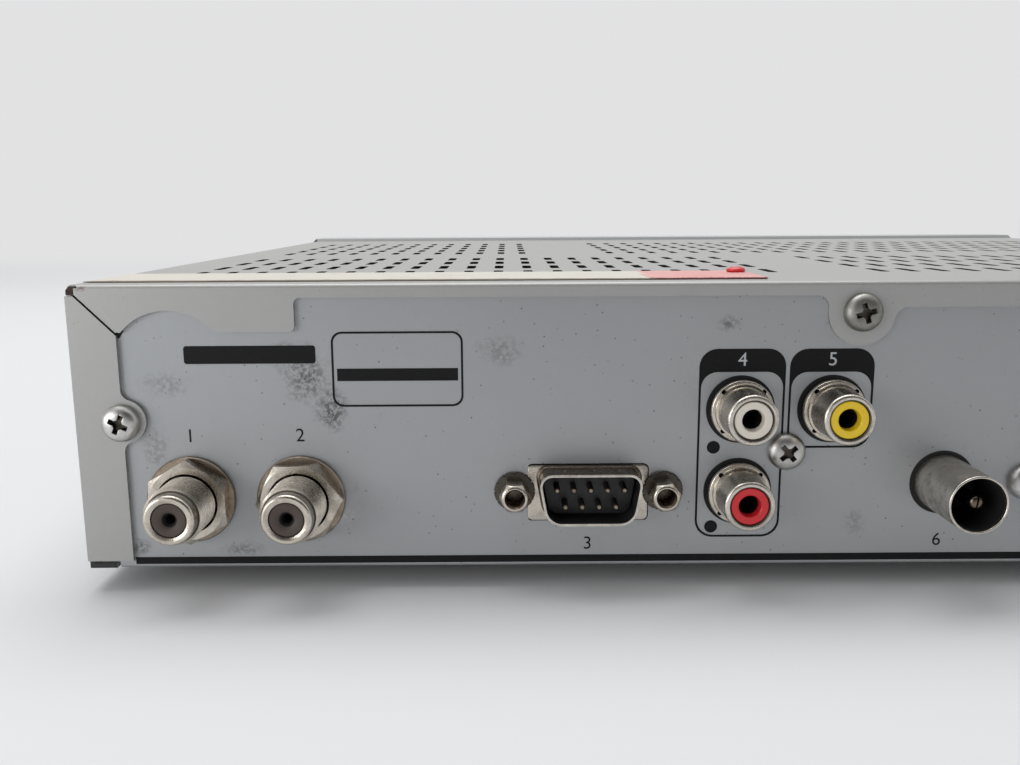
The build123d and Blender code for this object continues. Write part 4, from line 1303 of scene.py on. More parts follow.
@dataclass
class Tray:
    """Folded tray with the rear wall, and the ink printed on it."""

    case: Case
    film: float = 0.03
    line: float = 0.36
    figure_height: float = 2.3
    header: float = 3.9
    serial_collar: Point = (24.0, 14.0)
    serial_opening: Point = (20.6, 10.05)
    notice: Point = (53.55, 34.3)

    def cut_plate(self, whole: Piece, size: Point, at: Point, radius: float) -> Piece:
        """Cuts an opening of this size, place and corner radius into a printed plate."""
        cutter = Piece.plate("cutter", size, 5 * self.film, radius, at=at)
        return whole.combine(cutter.moved(z=-2 * self.film), Join.CUT)

    def surround(self, name: str, left: float, right: float, low: float, high: float) -> Piece:
        """A printed line round a group of sockets, filled above them.

        Args:
            name: Its name.
            left: Across, its left edge.
            right: Across, its right edge.
            low: Its lower edge.
            high: Its upper edge.

        Returns:
            The piece, in millimetres on the wall.
        """
        size = (right - left, high - low)
        at = ((left + right) / 2, (low + high) / 2)
        whole = Piece.plate(name, size, self.film, 3.0, at=at)
        inside = (size[0] - 2 * self.line, size[1] - self.line - self.header)
        return self.cut_plate(whole, inside, (at[0], low + self.line + inside[1] / 2), 2.7)

    def figure(self, name: str, text: str) -> Piece:
        """A plain figure, as thin as ink.

        Args:
            name: Its name.
            text: The figure.

        Returns:
            The piece, about the middle.
        """
        Piece.clear_selection()
        bpy.ops.object.text_add()
        letters = bpy.context.object
        letters.data.body = text
        letters.data.align_x, letters.data.align_y = "CENTER", "CENTER"
        letters.data.size = self.figure_height / 0.72
        letters.data.extrude = self.film / 2
        bpy.ops.object.convert(target="MESH")
        letters = bpy.context.object
        letters.name = letters.data.name = name
        return Piece(letters)

    def print_on(
        self, piece: Piece, across: float = 0.0, height: float = 0.0, coat: Coat = Coat.INK
    ) -> None:
        """Lays a printed piece on the rear wall, light ink over black."""
        lift = self.film * (1.6 if coat is Coat.LIGHT_INK else 0.2)
        piece.seated(self.case.seat(across, height, lift)).coat(coat).fix("panel_paint")

    def build(self) -> None:
        """Builds the tray and prints on its rear wall."""
        tray = Piece.from_node("chassis", "case_tray")
        serial = SerialSocket(self.case)
        collar = Piece.plate("collar", self.serial_collar, self.case.sheet)
        opening = Piece.plate("cutter", self.serial_opening, 3.0, 1.0, at=serial.base_shift).moved(z=-1.0)
        seat = self.case.seat(serial.across, serial.height, -self.case.sheet)
        tray.combine(collar.combine(opening, Join.CUT).seated(seat), Join.ADD)
        tray.bevel(0.08, 1).coat(Coat.PANEL).level()
        under = self.case.base + 0.05
        # The base's underside is darkened as painted shade, which also darkens the shadow under the case.
        tray.coat_where(Coat.BARE_STEEL, lambda at, facing: at.z < under and facing.z < -0.9)
        tray.fix("panel_paint", replaces=["chassis"])
        self.print_on(self.surround("sound_surround", 103.45, 117.8, 4.95, 37.4))
        self.print_on(self.surround("picture_surround", 118.45, 132.45, 20.5, 37.35))
        notice = Piece.plate("notice_surround", (21.7, 12.6), self.film, 1.8)
        self.print_on(self.cut_plate(notice, (21.0, 11.9), (0.0, 0.0), 1.5), *self.notice)
        self.print_on(Piece.plate("notice_band", (20.0, 2.1), self.film), self.notice[0], 33.4)
        self.print_on(Piece.plate("bare_plate", (21.7, 3.0), self.film, 0.5), 29.25, 36.85)
        foot_band = Piece.plate("foot_band", (self.case.width - 15.8, 1.25), self.film)
        self.print_on(foot_band, self.case.width / 2, 1.3)
        for name, height in (("left_dot", 20.7), ("right_dot", 6.8)):
            self.print_on(Piece.prism(name, 32, 1.1, 0.0, self.film), 106.2, height)
        figures = (
            ("figure_in", "1", 18.6, 23.1, Coat.INK),
            ("figure_out", "2", 37.0, 23.1, Coat.INK),
            ("figure_serial", "3", 85.2, 3.9, Coat.INK),
            ("figure_sound", "4", 110.6, 35.5, Coat.LIGHT_INK),
            ("figure_picture", "5", 125.5, 35.5, Coat.LIGHT_INK),
            ("figure_aerial", "6", 144.9, 4.2, Coat.INK),
        )
        for name, text, across, height, coat in figures:
            self.print_on(self.figure(name, text), across, height, coat)


@dataclass
class Feet:
    """Four rubber feet, each held by a sunk screw."""

    case: Case
    radius: float = 8.0
    side_inset: float = 24.0
    front_row: float = -78.1
    rear_row: float = 81.9

    def build(self) -> None:
        """Builds the feet and their screws."""
        profile = [(0.0, 1.4), (3.2, 1.4), (3.2, 0.5), (3.6, 0.0), (self.radius - 1.2, 0.0)]
        profile += steps_round((self.radius - 0.6, 0.6), 0.6, -90, 0, 4)
        top = self.case.base
        profile += [(self.radius - 0.25, top - 0.6), (self.radius - 0.5, top), (0.0, top)]
        foot = Piece.lathe("foot", profile, 48)
        dome = [(0.0, 0.55), (1.6, 0.6), (2.3, 0.85), (2.5, 1.4), (0.0, 1.4)]
        head = Piece.lathe("foot_screw", dome, 32)
        for turn in (0, 90):
            head.combine(Piece.block("cutter", (2.8, 0.6, 1.2), (0, 0, 0.5)).turned(turn), Join.CUT)
        places = [(side, y) for side in (-1, 1) for y in (self.front_row, self.rear_row)]
        for number, (side, y) in enumerate(places, 1):
            spot = Vector((side * (self.case.width / 2 - self.side_inset), y, 0.0))
            where = Matrix.Translation(spot * MM) @ Matrix.Scale(MM, 4)
            foot.placed(f"foot_{number}", where, Coat.RUBBER).fix("rubber_foot", replaces=["feet"])
            head.placed(f"foot_screw_{number}", where, Coat.ZINC).fix("screw_steel")
        foot.discard()
        head.discard()


# ---------------------------------------------------------------- Rear wall
@dataclass
class RearScrews:
    """Pan head screws with worn cross recesses."""

    case: Case
    radius: float = 3.15
    arm: float = 2.1
    arm_width: float = 1.0
    recess: float = 1.35
    top: float = 2.0
    shade_low: float = 0.35
    shade_high: float = 1.25
    shade_radius: float = 2.3

    def head(self) -> Piece:
        """One head, upright.

        Returns:
            The piece.
        """
        radius, floor = self.radius, self.top - self.recess
        profile = [(0.0, -0.1), (radius - 0.1, -0.1), (radius, 0.0), (radius, 0.55)]
        profile += [(radius - 0.06, 0.9), (radius - 0.3, 1.3), (radius - 0.75, 1.65)]
        profile += [(radius - 1.5, 1.9), (0.0, self.top)]
        head = Piece.lathe("screw_head", profile, 48)
        for turn in (0, 90):
            arm = Piece.block("cutter", (2 * self.arm, self.arm_width, 2 * self.recess), (0, 0, self.top))
            with arm.selected(faces=lambda at, facing: facing.z < -0.9):
                bpy.ops.transform.resize(value=(0.62, 0.75, 1.0), center_override=(0, 0, floor))
            head.combine(arm.turned(turn), Join.CUT)
        core = Piece.prism("cutter", 8, 0.85, floor, 2.2)
        return head.combine(core, Join.CUT).bevel(0.06, 2)

    def in_recess(self, at: Vector, facing: Vector) -> bool:
        """Whether a face of a head is in its cross recess, which gets painted shade.

        Args:
            at: The face's middle.
            facing: Its normal.

        Returns:
            Whether it is.
        """
        sunk = at.z < self.shade_high or abs(facing.z) < 0.4
        return sunk and at.z > self.shade_low and at.xy.length < self.shade_radius

    def build(self) -> None:
        """Builds the five screws."""
        head = self.head()
        sheet = self.case.sheet
        places = (
            ("screw_side", 7.7, 25.7, sheet, 66.0, Coat.ZINC),
            ("screw_far_side", self.case.width - 8.7, 25.9, sheet, 63.0, Coat.ZINC),
            ("screw_middle_tab", 129.6, 43.4, sheet, 16.0, Coat.DULL_ZINC),
            ("screw_jacks", 118.4, 20.0, 0.0, 40.0, Coat.ZINC),
            ("screw_modulator", 159.2, 14.5, 0.0, 8.0, Coat.ZINC),
        )
        for name, across, height, out, turn, coat in places:
            screw = head.placed(name, self.case.seat(across, height, out, turn), coat, 40)
            # The cross recess gets painted shade.
            screw.coat_where(Coat.DARK_STEEL, self.in_recess).fix("screw_steel", replaces=["rear_screws"])
        head.discard()


@dataclass
class SatelliteSockets:
    """Two threaded sockets with flanged nuts."""

    case: Case
    height: float = 12.3
    thread: float = 4.7625
    pitch: float = 0.79
    thread_end: float = 9.7
    root: float = 4.36
    nut_flats: float = 12.7
    nut_top: float = 3.2
    flange: float = 7.4
    reach: float = 12.0
    bore: float = 2.78
    flange_top: float = 0.9
    nut_bore: float = 4.84
    thread_shade_end: float = 10.2
    core_shadow: Point = (1.3, 11.45)

    def barrel(self) -> Piece:
        """Threaded barrel with a smooth rounded mouth.

        Returns:
            The piece, upright.
        """
        behind = -self.case.sheet
        profile = [(self.bore, behind), (4.5, behind), (4.5, self.nut_top - 0.6)]
        height = self.nut_top - 0.4
        while height < self.thread_end:
            profile += [(self.root, height), (self.root, height + 0.24)]
            profile += [(self.thread, height + 0.38), (self.thread, height + 0.5)]
            height += self.pitch
        profile += [(self.root, height), (4.2, height + 0.15), (4.12, height + 0.3)]
        profile += steps_round((3.55, self.reach - 0.6), 0.58, 5, 90, 5)
        profile += [(3.3, self.reach - 0.05), (self.bore + 0.12, self.reach - 0.22)]
        profile += [(self.bore, self.reach - 0.5)]
        return Piece.lathe("barrel", profile, 64)

    def insulator(self) -> Piece:
        """Insulator with the hole for the plug's wire.

        Returns:
            The piece, upright.
        """
        top, side, behind = self.reach - 0.3, self.bore - 0.02, -self.case.sheet
        profile = [(0.0, behind), (side, behind), (side, top - 0.12), (self.bore - 0.15, top)]
        profile += [(1.6, top), (1.2, top - 0.3), (0.8, top - 0.8), (0.8, top - 5.0), (0.0, top - 5.0)]
        return Piece.lathe("insulator", profile, 48)

    def nut(self) -> Piece:
        """Hexagon nut with chamfered corners and a sunk hole, on a round flange.

        Returns:
            The piece, upright.
        """
        corner, past = self.nut_flats / math.sqrt(3), self.nut_top + 0.1
        nut = Piece.prism("nut", 6, corner, 0.7, self.nut_top, 30)
        cone = [(0.0, 0.5), (corner + 0.3, 0.5), (corner + 0.3, self.nut_top - 0.95)]
        cone += [(self.nut_flats / 2 - 0.15, self.nut_top + 0.02), (0.0, self.nut_top + 0.02)]
        nut.combine(Piece.lathe("cutter", cone, 96), Join.KEEP).bevel(0.12, 2)
        hole = [(0.0, -1.0), (self.nut_bore, -1.0), (self.nut_bore, 2.5), (5.2, past), (0.0, past)]
        nut.combine(Piece.lathe("cutter", hole, 64), Join.CUT)
        rim, top = self.flange - 0.15, self.flange_top
        ring = [(4.6, 0.0), (rim, 0.0), (self.flange, 0.15), (self.flange, top - 0.15)]
        ring += [(rim, top), (4.6, top)]
        return joined("nut", [nut, Piece.lathe("ring", ring, 72)])

    def in_thread(self, at: Vector, facing: Vector) -> bool:
        """Whether a face of the barrel is at the root of its thread, which gets painted shade."""
        return at.z < self.thread_shade_end and at.xy.length < self.root + 0.05

    def in_nut(self, at: Vector, facing: Vector) -> bool:
        """Whether a face of the nut is in its hole, which gets painted shade."""
        return facing.z < 0.9 and at.xy.length < self.nut_bore + 0.06

    def in_core(self, at: Vector, facing: Vector) -> bool:
        """Whether a face of the insulator is deep in the hole for the plug's wire, where it gets painted
        shade.
        """
        radius, top = self.core_shadow
        return at.z < top and at.xy.length < radius

    def build(self) -> None:
        """Builds both sockets."""
        barrel, nut, insulator = self.barrel(), self.nut(), self.insulator()
        for name, across, turn in (("in", 18.3, 30.0), ("out", 36.8, 3.0)):
            seat = self.case.seat(across, self.height)
            threaded = barrel.placed(f"satellite_{name}_barrel", seat, Coat.NICKEL, 40)
            # The thread roots get painted shade, so that the threads stand out.
            threaded.coat_where(Coat.THREAD_DIRT, self.in_thread)
            threaded.fix("nickel_plate", replaces=[f"lnb_{name}_barrel"])
            turned = self.case.seat(across, self.height, turn=turn)
            hexagon = nut.placed(f"satellite_{name}_nut", turned, Coat.NICKEL, 25)
            hexagon.coat_where(Coat.DULL_NICKEL, lambda at, facing: at.z < self.flange_top + 0.05)
            # The nut's hole gets painted shade.
            hexagon.coat_where(Coat.GAP, self.in_nut)
            hexagon.fix("nickel_plate", replaces=["lnb_nuts"])
            core = insulator.placed(f"satellite_{name}_insulator", seat, Coat.BROWN, 40)
            # The hole for the plug's wire gets painted shade.
            core.coat_where(Coat.GAP, self.in_core).fix("dark_insulator", replaces=["lnb_insulators"])
        for piece in (barrel, nut, insulator):
            piece.discard()


@dataclass
class SerialSocket:
    """Nine pin socket with its shell, pins, jackscrews and lock washers."""

    case: Case
    across: float = 85.3
    height: float = 13.3
    shell: Point = (17.5, 8.75)
    shell_reach: float = 5.8
    shell_wall: float = 0.42
    corner: float = 2.5
    taper: float = 0.826
    dimples: tuple[float, ...] = (-4.6, 0.2, 4.4)
    base: Point = (20.3, 9.7)
    base_shift: Point = (-0.15, -0.3)
    base_reach: float = 0.25
    root: Point = (18.5, 9.2)
    flange: Point = (30.8, 12.6)
    screw_pitch: float = 24.99
    screw_flats: float = 4.5
    screw_reach: float = 5.0
    thread: float = 1.42
    thread_depth: float = 3.8
    pin_pitch: float = 2.77
    row_pitch: float = 2.84
    pin_foot: float = 1.2
    pin_reach: float = 5.0

    def make_shell(self) -> Piece:
        """Drawn metal shell with a rounded rim, on a raised base.

        Returns:
            The piece, upright.
        """
        wall = self.shell_wall
        shell = Piece.plate("serial_shell_drawn", self.shell, self.shell_reach, self.corner, self.taper)
        base = Piece.plate("base", self.base, self.base_reach + 0.8, 0.9, at=self.base_shift).moved(z=-0.8)
        root = Piece.plate("root", self.root, 1.5, self.corner, self.taper).bevel(0.4, 3)
        flange = Piece.plate("flange", self.flange, 0.8, 1.0).moved(z=-1.6)
        for added in (base.bevel(0.2, 2), root, flange):
            shell.combine(added, Join.ADD)
        inner = (self.shell[0] - 2 * wall, self.shell[1] - 2 * wall)
        hollow = Piece.plate("cutter", inner, 12.0, self.corner - wall, self.taper).moved(z=-3.0)
        shell.combine(hollow, Join.CUT)
        for across in self.dimples:
            dimple = Piece.start(
                "cutter",
                bpy.ops.mesh.primitive_uv_sphere_add,
                segments=20,
                ring_count=10,
                radius=0.55,
                scale=(1.3, 0.75, 0.6),
                location=(across, self.shell[1] / 2 + 0.12, 3.1),
            )
            shell.combine(dimple, Join.CUT)
        for side in (-1, 1):
            hole = Piece.prism("cutter", 32, 1.6, -2.0, -0.5).moved(side * self.screw_pitch / 2)
            shell.combine(hole, Join.CUT)
        return shell.bevel(0.14, 3, 50)

    def pin(self) -> Piece:
        """One pin with a rounded tip.

        Returns:
            The piece, upright.
        """
        foot, tip = self.pin_foot - 0.1, self.pin_reach
        profile = [(0.0, foot), (0.5, foot), (0.5, tip - 0.5)]
        profile += [(0.44, tip - 0.2), (0.28, tip - 0.03), (0.0, tip)]
        return Piece.lathe("pin", profile, 20)

    def jackscrew(self) -> Piece:
        """Hexagon jackscrew with a rounded end and a threaded hole.

        Returns:
            The piece, upright.
        """
        corner, middle, end = self.screw_flats / math.sqrt(3), self.screw_flats / 2, self.screw_reach
        screw = Piece.prism("jackscrew", 6, corner, 0.0, end, 30)
        cone = [(0.0, -0.1), (corner + 0.2, -0.1), (corner + 0.2, end - 1.05)]
        cone += [(middle - 0.12, end - 0.12), (middle - 0.35, end), (0.0, end)]
        screw.combine(Piece.lathe("cutter", cone, 72), Join.KEEP)
        height = end - self.thread_depth
        hole = [(0.0, height)]
        while height < end - 0.5:
            hole += [(self.thread, height), (self.thread + 0.22, height + 0.3)]
            height += 0.6
        hole += [(self.thread, end - 0.35), (self.thread + 0.3, end + 0.02), (0.0, end + 0.02)]
        return screw.combine(Piece.lathe("cutter", hole, 40), Join.CUT)

    def washer(self) -> Piece:
        """Dark toothed lock washer.

        Returns:
            The piece, upright.
        """
        washer = Piece.lathe("washer", [(2.0, 0.0), (3.35, 0.0), (3.45, 0.3), (3.3, 0.62), (2.0, 0.62)], 48)
        for tooth in range(12):
            notch = Piece.block("cutter", (0.7, 0.28, 2.0), (3.45, 0.0, 0.0)).turned(tooth * 30)
            washer.combine(notch, Join.CUT)
        return washer

    def dress_shell(self, shell: Piece) -> None:
        """Gives the shell a painted highlight on its rim, brighter nickel on its flange, and painted shade
        inside it and behind the wall.

        Args:
            shell: The shell, in its place.
        """
        rim = self.shell_reach - 0.12
        shell.coat_where(Coat.NICKEL, lambda at, facing: at.z < 1.0 and facing.z > 0.3)
        # The rim gets a painted highlight.
        shell.coat_where(Coat.BRIGHT_LIP, lambda at, facing: at.z > rim)
        # The shell's inner walls get painted shade.
        shell.coat_where(
            Coat.GAP,
            lambda at, facing: at.z <= rim and abs(facing.z) < 0.5 and at.xy.dot(facing.xy) < 0,
        )
        # What lies behind the wall gets painted shade too.
        shell.coat_where(Coat.GAP, lambda at, facing: at.z < -0.3)
        shell.fix("nickel_plate", replaces=["serial_shell"])

    def pins(self, seat: Matrix) -> None:
        """Five pins over four, their shafts darkened as painted shade and their tips lighter.

        Args:
            seat: The socket's place.
        """
        pin, pins = self.pin(), []
        for row, count in ((0.5, 5), (-0.5, 4)):
            for place in range(count):
                across = (place - (count - 1) / 2) * self.pin_pitch
                pins.append(pin.twin("pin").moved(across, row * self.row_pitch))
        pin.discard()
        # The shafts, down in the shell, are darkened as painted shade; the tips are lighter.
        turned = joined("serial_pins_turned", pins).seated(seat).coat(Coat.DARK_STEEL)
        turned.coat_where(Coat.DULL_NICKEL, lambda at, facing: at.z > self.pin_reach - 0.3)
        turned.fix("brass_hex", replaces=["serial_pins"])

    def build(self) -> None:
        """Builds the socket round its packed housing."""
        seat = self.case.seat(self.across, self.height)
        # The shell is nickel tarnished brown and darkened as painted shade.
        self.dress_shell(self.make_shell().seated(seat).coat(Coat.BROWN_NICKEL, 40))
        self.pins(seat)
        screw, washer = self.jackscrew(), self.washer()
        front = self.screw_reach - 1.1
        for name, side, turn in (("left", -1, 0.0), ("right", 1, 8.0)):
            spot = self.case.seat(self.across + side * self.screw_pitch / 2, self.height, 0.0, turn)
            # Each jackscrew is darkened as painted shade, and the outer edge of its front end gets brighter
            # nickel as a painted highlight.
            made = screw.placed(f"jackscrew_{name}", spot, Coat.BROWN_NICKEL, 30)
            made.coat_where(Coat.NICKEL, lambda at, facing: at.z > front and at.xy.length > 1.75)
            made.fix("nickel_plate", replaces=["serial_jackscrews"])
            washer.placed(f"lock_washer_{name}", spot, Coat.DARK_STEEL, 30).fix("screw_steel")
        screw.discard()
        washer.discard()


@dataclass
class PinJacks:
    """Sound and picture jacks: stepped shells, notched collars and coloured insulators."""

    case: Case
    reach: float = 9.0
    barrel: float = 4.15
    collar: float = 4.6
    flange: float = 5.2
    flange_reach: float = 2.0
    opening: float = 5.75
    bore: float = 3.05
    hole: float = 1.66

    def make_shell(self) -> Piece:
        """Plated shell.

        Returns:
            The piece, upright.
        """
        reach, lip = self.reach, self.barrel - 0.5
        face = self.flange_reach
        root, behind = self.flange - 0.3, -self.case.sheet
        profile = [(self.bore, behind), (root, behind), (root, face - 0.9)]
        profile += [(self.flange, face - 0.8), (self.flange, face - 0.25)]
        profile += steps_round((self.flange - 0.25, face - 0.25), 0.25, 0, 90, 3)
        profile += [(self.collar + 0.06, face + 0.02), (self.collar, face + 0.1)]
        profile += [(self.collar - 0.05, face + 0.5)]
        profile += [(self.barrel + 0.08, face + 0.62), (self.barrel, face + 0.8)]
        profile += steps_round((lip, reach - 0.5), 0.5, 0, 90, 6)
        profile += [(self.bore + 0.28, reach - 0.02), (self.bore + 0.1, reach - 0.16)]
        profile += [(self.bore + 0.07, reach - 0.5), (self.bore, reach - 0.7)]
        shell = Piece.lathe("jack_shell", profile, 72)
        for quarter in range(4):
            notch = Piece.prism("cutter", 16, 0.42, face - 0.9, face + 0.4).moved(self.collar + 0.02)
            shell.combine(notch.turned(45 + 90 * quarter), Join.CUT)
        return shell

    def in_shadow(self, at: Vector, facing: Vector) -> bool:
        """Whether a face of the shell is behind its flange or in one of the four notches, where it gets
        painted shade.

        Args:
            at: The face's middle.
            facing: Its normal.

        Returns:
            Whether it is.
        """
        skew = abs(abs(at.x) - abs(at.y))
        in_notch = self.collar - 0.45 < at.xy.length < self.flange - 0.1 and skew < 0.62
        upright = at.z < self.flange_reach + 0.5 and abs(facing.z) < 0.3
        return at.z < self.flange_reach - 0.75 or (upright and in_notch)

    def make_insulator(self) -> Piece:
        """Insulator with a bevelled mouth.

        Returns:
            The piece, upright.
        """
        top, side, behind = self.reach - 0.22, self.bore - 0.02, -self.case.sheet
        profile = [(0.0, behind), (side, behind), (side, top - 0.1), (self.bore - 0.12, top)]
        profile += [(self.hole + 0.3, top), (self.hole + 0.16, top - 0.12), (self.hole + 0.02, top - 1.2)]
        profile += [(self.hole, top - 1.5), (self.hole, 1.0), (0.0, 1.0)]
        return Piece.lathe("jack_insulator", profile, 56)

    def make_contact(self) -> Piece:
        """Sprung contact inside the insulator, slit into leaves.

        Returns:
            The piece, upright.
        """
        leaves = [(1.63, 1.1), (1.63, 6.4), (1.5, 6.7), (1.36, 6.4), (1.4, 1.1)]
        contact = Piece.lathe("jack_contact", leaves, 32)
        for turn in (20, 110):
            contact.combine(Piece.block("cutter", (6.0, 0.3, 4.0), (0, 0, 5.6)).turned(turn), Join.CUT)
        return contact

    def build(self) -> None:
        """Builds the three jacks."""
        shell, insulator, contact = self.make_shell(), self.make_insulator(), self.make_contact()
        jacks = (
            ("audio_left", 110.5, 27.2, Coat.WHITE, "white_plastic"),
            ("audio_right", 110.5, 13.1, Coat.RED, "red_plastic"),
            ("video", 125.7, 27.2, Coat.YELLOW, "yellow_plastic"),
        )
        for name, across, height, coat, slot in jacks:
            seat = self.case.seat(across, height)
            ring = shell.placed(f"{name}_jack", seat, Coat.NICKEL, 35)
            # A near-black ring round each jack in the panel hole: its black plastic body, darkened as painted
            # shade.
            body = Piece.ring(f"{name}_body", 4.95, self.opening, -0.3, 0.05)
            body.seated(seat).coat(Coat.GAP).fix("black_plastic")
            # The lip gets a painted highlight.
            ring.coat_where(Coat.BRIGHT_LIP, lambda at, facing: at.z > self.reach - 0.55)
            # Faces behind the flange and in the notches get painted shade.
            ring.coat_where(Coat.GAP, self.in_shadow)
            # The shell's bore is darkened as painted shade.
            ring.coat_where(Coat.DARK_STEEL, lambda at, facing: at.xy.length < self.bore + 0.2)
            ring.fix("nickel_plate", replaces=[f"{name}_shell"])
            core = insulator.placed(f"{name}_core", seat, coat, 35)
            # The insulator's hole gets painted shade deep down.
            deep, wide = self.reach - 1.8, self.hole + 0.09
            core.coat_where(Coat.GAP, lambda at, facing: at.z < deep and at.xy.length < wide)
            core.fix(slot, replaces=[f"{name}_insulator"])
            # The contacts, down in the insulators, are darkened as painted shade.
            contact.placed(f"{name}_contact", seat, Coat.DARK_STEEL, 35).fix("contact_tin")
        for piece in (shell, insulator, contact):
            piece.discard()


@dataclass
class AerialSockets:
    """Aerial output with its split pin, and the input beside it."""

    case: Case
    out_across: float = 145.1
    in_across: float = 170.1
    height: float = 14.4
    out_radius: float = 4.75
    out_bore: float = 4.3
    out_hole: float = 5.5
    out_reach: float = 13.0
    pin_radius: float = 1.18
    pin_recess: float = 1.3
    in_barrel: tuple[float, float, float] = (4.8, 5.6, 9.0)
    in_contact: tuple[float, float, float] = (1.2, 2.1, 7.6)

    def tube(self, name: str, bore: float, radius: float, reach: float) -> Piece:
        """A tube with a rounded mouth.

        Args:
            name: Its name.
            bore: Its inner radius.
            radius: Its outer radius.
            reach: How far it stands out.

        Returns:
            The piece, upright.
        """
        lip = (radius - bore) / 2
        behind = -self.case.sheet
        profile = [(bore, behind), (radius, behind), (radius, reach - 2 * lip)]
        profile += steps_round((bore + lip, reach - lip), lip, 20, 160, 6)
        profile += [(bore, reach - 2 * lip)]
        return Piece.lathe(name, profile, 72)

    def build(self) -> None:
        """Builds both sockets."""
        self.output(self.case.seat(self.out_across, self.height))
        self.input(self.case.seat(self.in_across, self.height))

    def output(self, seat: Matrix) -> None:
        """Builds the output: barrel with a painted highlight on its mouth, painted shade in its bore and
        round its foot, and the split pin, darkened as painted shade, which leans a little.

        Args:
            seat: Its place.
        """
        barrel = self.tube("aerial_out_barrel", self.out_bore, self.out_radius, self.out_reach)
        barrel.seated(seat).coat(Coat.WORN_NICKEL, 40)
        # The mouth gets a painted highlight.
        barrel.coat_where(Coat.BRIGHT_LIP, lambda at, facing: at.z > self.out_reach - 0.35)
        barrel.fix("nickel_plate", replaces=["rf_out_barrel"])
        top, inner, outer = self.out_reach - 0.5, self.pin_radius + 0.02, self.out_bore - 0.02
        cup = [(inner, 2.4), (outer - 0.1, 2.4), (outer - 0.1, top), (outer, top)]
        cup += [(outer, 2.2), (inner, 2.2)]
        bore_shade = Piece.lathe("aerial_out_liner", cup, 64)
        foot_shade = Piece.ring("aerial_out_gasket", self.out_radius + 0.02, self.out_hole, -0.3, 0.05)
        # A cup in the bore and a ring round the barrel's foot are painted shade, where the bore and the panel
        # hole lie in shadow.
        for dark in (bore_shade, foot_shade):
            dark.seated(seat).coat(Coat.GAP, 40).fix("black_plastic")
        tip = self.out_reach - self.pin_recess
        profile = [(0.0, 2.0), (self.pin_radius, 2.0), (self.pin_radius, tip - 0.6)]
        profile += [(1.02, tip - 0.28), (0.7, tip - 0.06), (0.0, tip)]
        pin = Piece.lathe("aerial_out_pin", profile, 36)
        pin.combine(Piece.block("cutter", (0.3, 4.0, 5.0), (0, 0, tip - 2.0)), Join.CUT)
        lean = Matrix.Rotation(math.radians(1.8), 4, "Y") @ Matrix.Rotation(math.radians(-8), 4, "Z")
        # The pin is darkened as painted shade.
        pin.seated(seat @ lean).coat(Coat.BROWN_NICKEL, 40)
        pin.fix("nickel_plate", replaces=["rf_out_pin"])

    def input(self, seat: Matrix) -> None:
        """Builds the input: barrel and a contact slit into four leaves.

        Args:
            seat: Its place.
        """
        barrel = self.tube("aerial_in_barrel", *self.in_barrel).seated(seat).coat(Coat.WORN_NICKEL, 40)
        barrel.fix("nickel_plate", replaces=["rf_in_barrel"])
        contact = self.tube("aerial_in_contact", *self.in_contact)
        for turn in (0, 90):
            contact.combine(Piece.block("cutter", (6.0, 0.35, 5.0), (0, 0, 7.0)).turned(turn), Join.CUT)
        contact.seated(seat).coat(Coat.BRIGHT_LIP, 40).fix("nickel_plate", replaces=["rf_in_contact"])


@dataclass
class Carried:
    """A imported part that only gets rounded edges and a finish."""

    node: str
    name: str
    coat: Coat
    slot: str
    edge: float
    body: str = "case"

    def build(self) -> None:
        """Rounds and dresses the part."""
        piece = Piece.from_node(self.node, self.name).bevel(self.edge, 2)
        piece.coat(self.coat).fix(self.slot, self.body, [self.node])


@dataclass
class MainsEntry:
    """Mains inlet, power switch and its rocker."""

    case: Case
    across: float = 213.0
    height: float = 20.0
    frame_reach: float = 1.5
    mark_pitch: float = 9.45
    film: float = 0.03

    def marks(self) -> None:
        """On and off marks on the switch's frame."""
        bar = Piece.block("mark_on", (0.32, 1.5, 2 * self.film))
        ring = Piece.ring("mark_off", 0.5, 0.8, -self.film, self.film, 32)
        for piece, side in ((bar, 1), (ring, -1)):
            spot = self.case.seat(self.across, self.height + side * self.mark_pitch, self.frame_reach)
            piece.seated(spot).coat(Coat.LIGHT_INK).fix("black_plastic")

    def build(self) -> None:
        """Builds the inlet, the switch and its rocker, with the two marks."""
        self.marks()
        Carried("mains_inlet", "inlet_body", Coat.BLACK, "black_plastic", 0.3).build()
        Carried("inlet_pins", "inlet_prongs", Coat.BRIGHT_LIP, "nickel_plate", 0.25).build()
        Carried("switch_housing", "switch_frame", Coat.BLACK, "black_plastic", 0.25).build()
        Carried("mains_rocker", "switch_rocker", Coat.BLACK, "black_plastic", 0.3, "rocker").build()


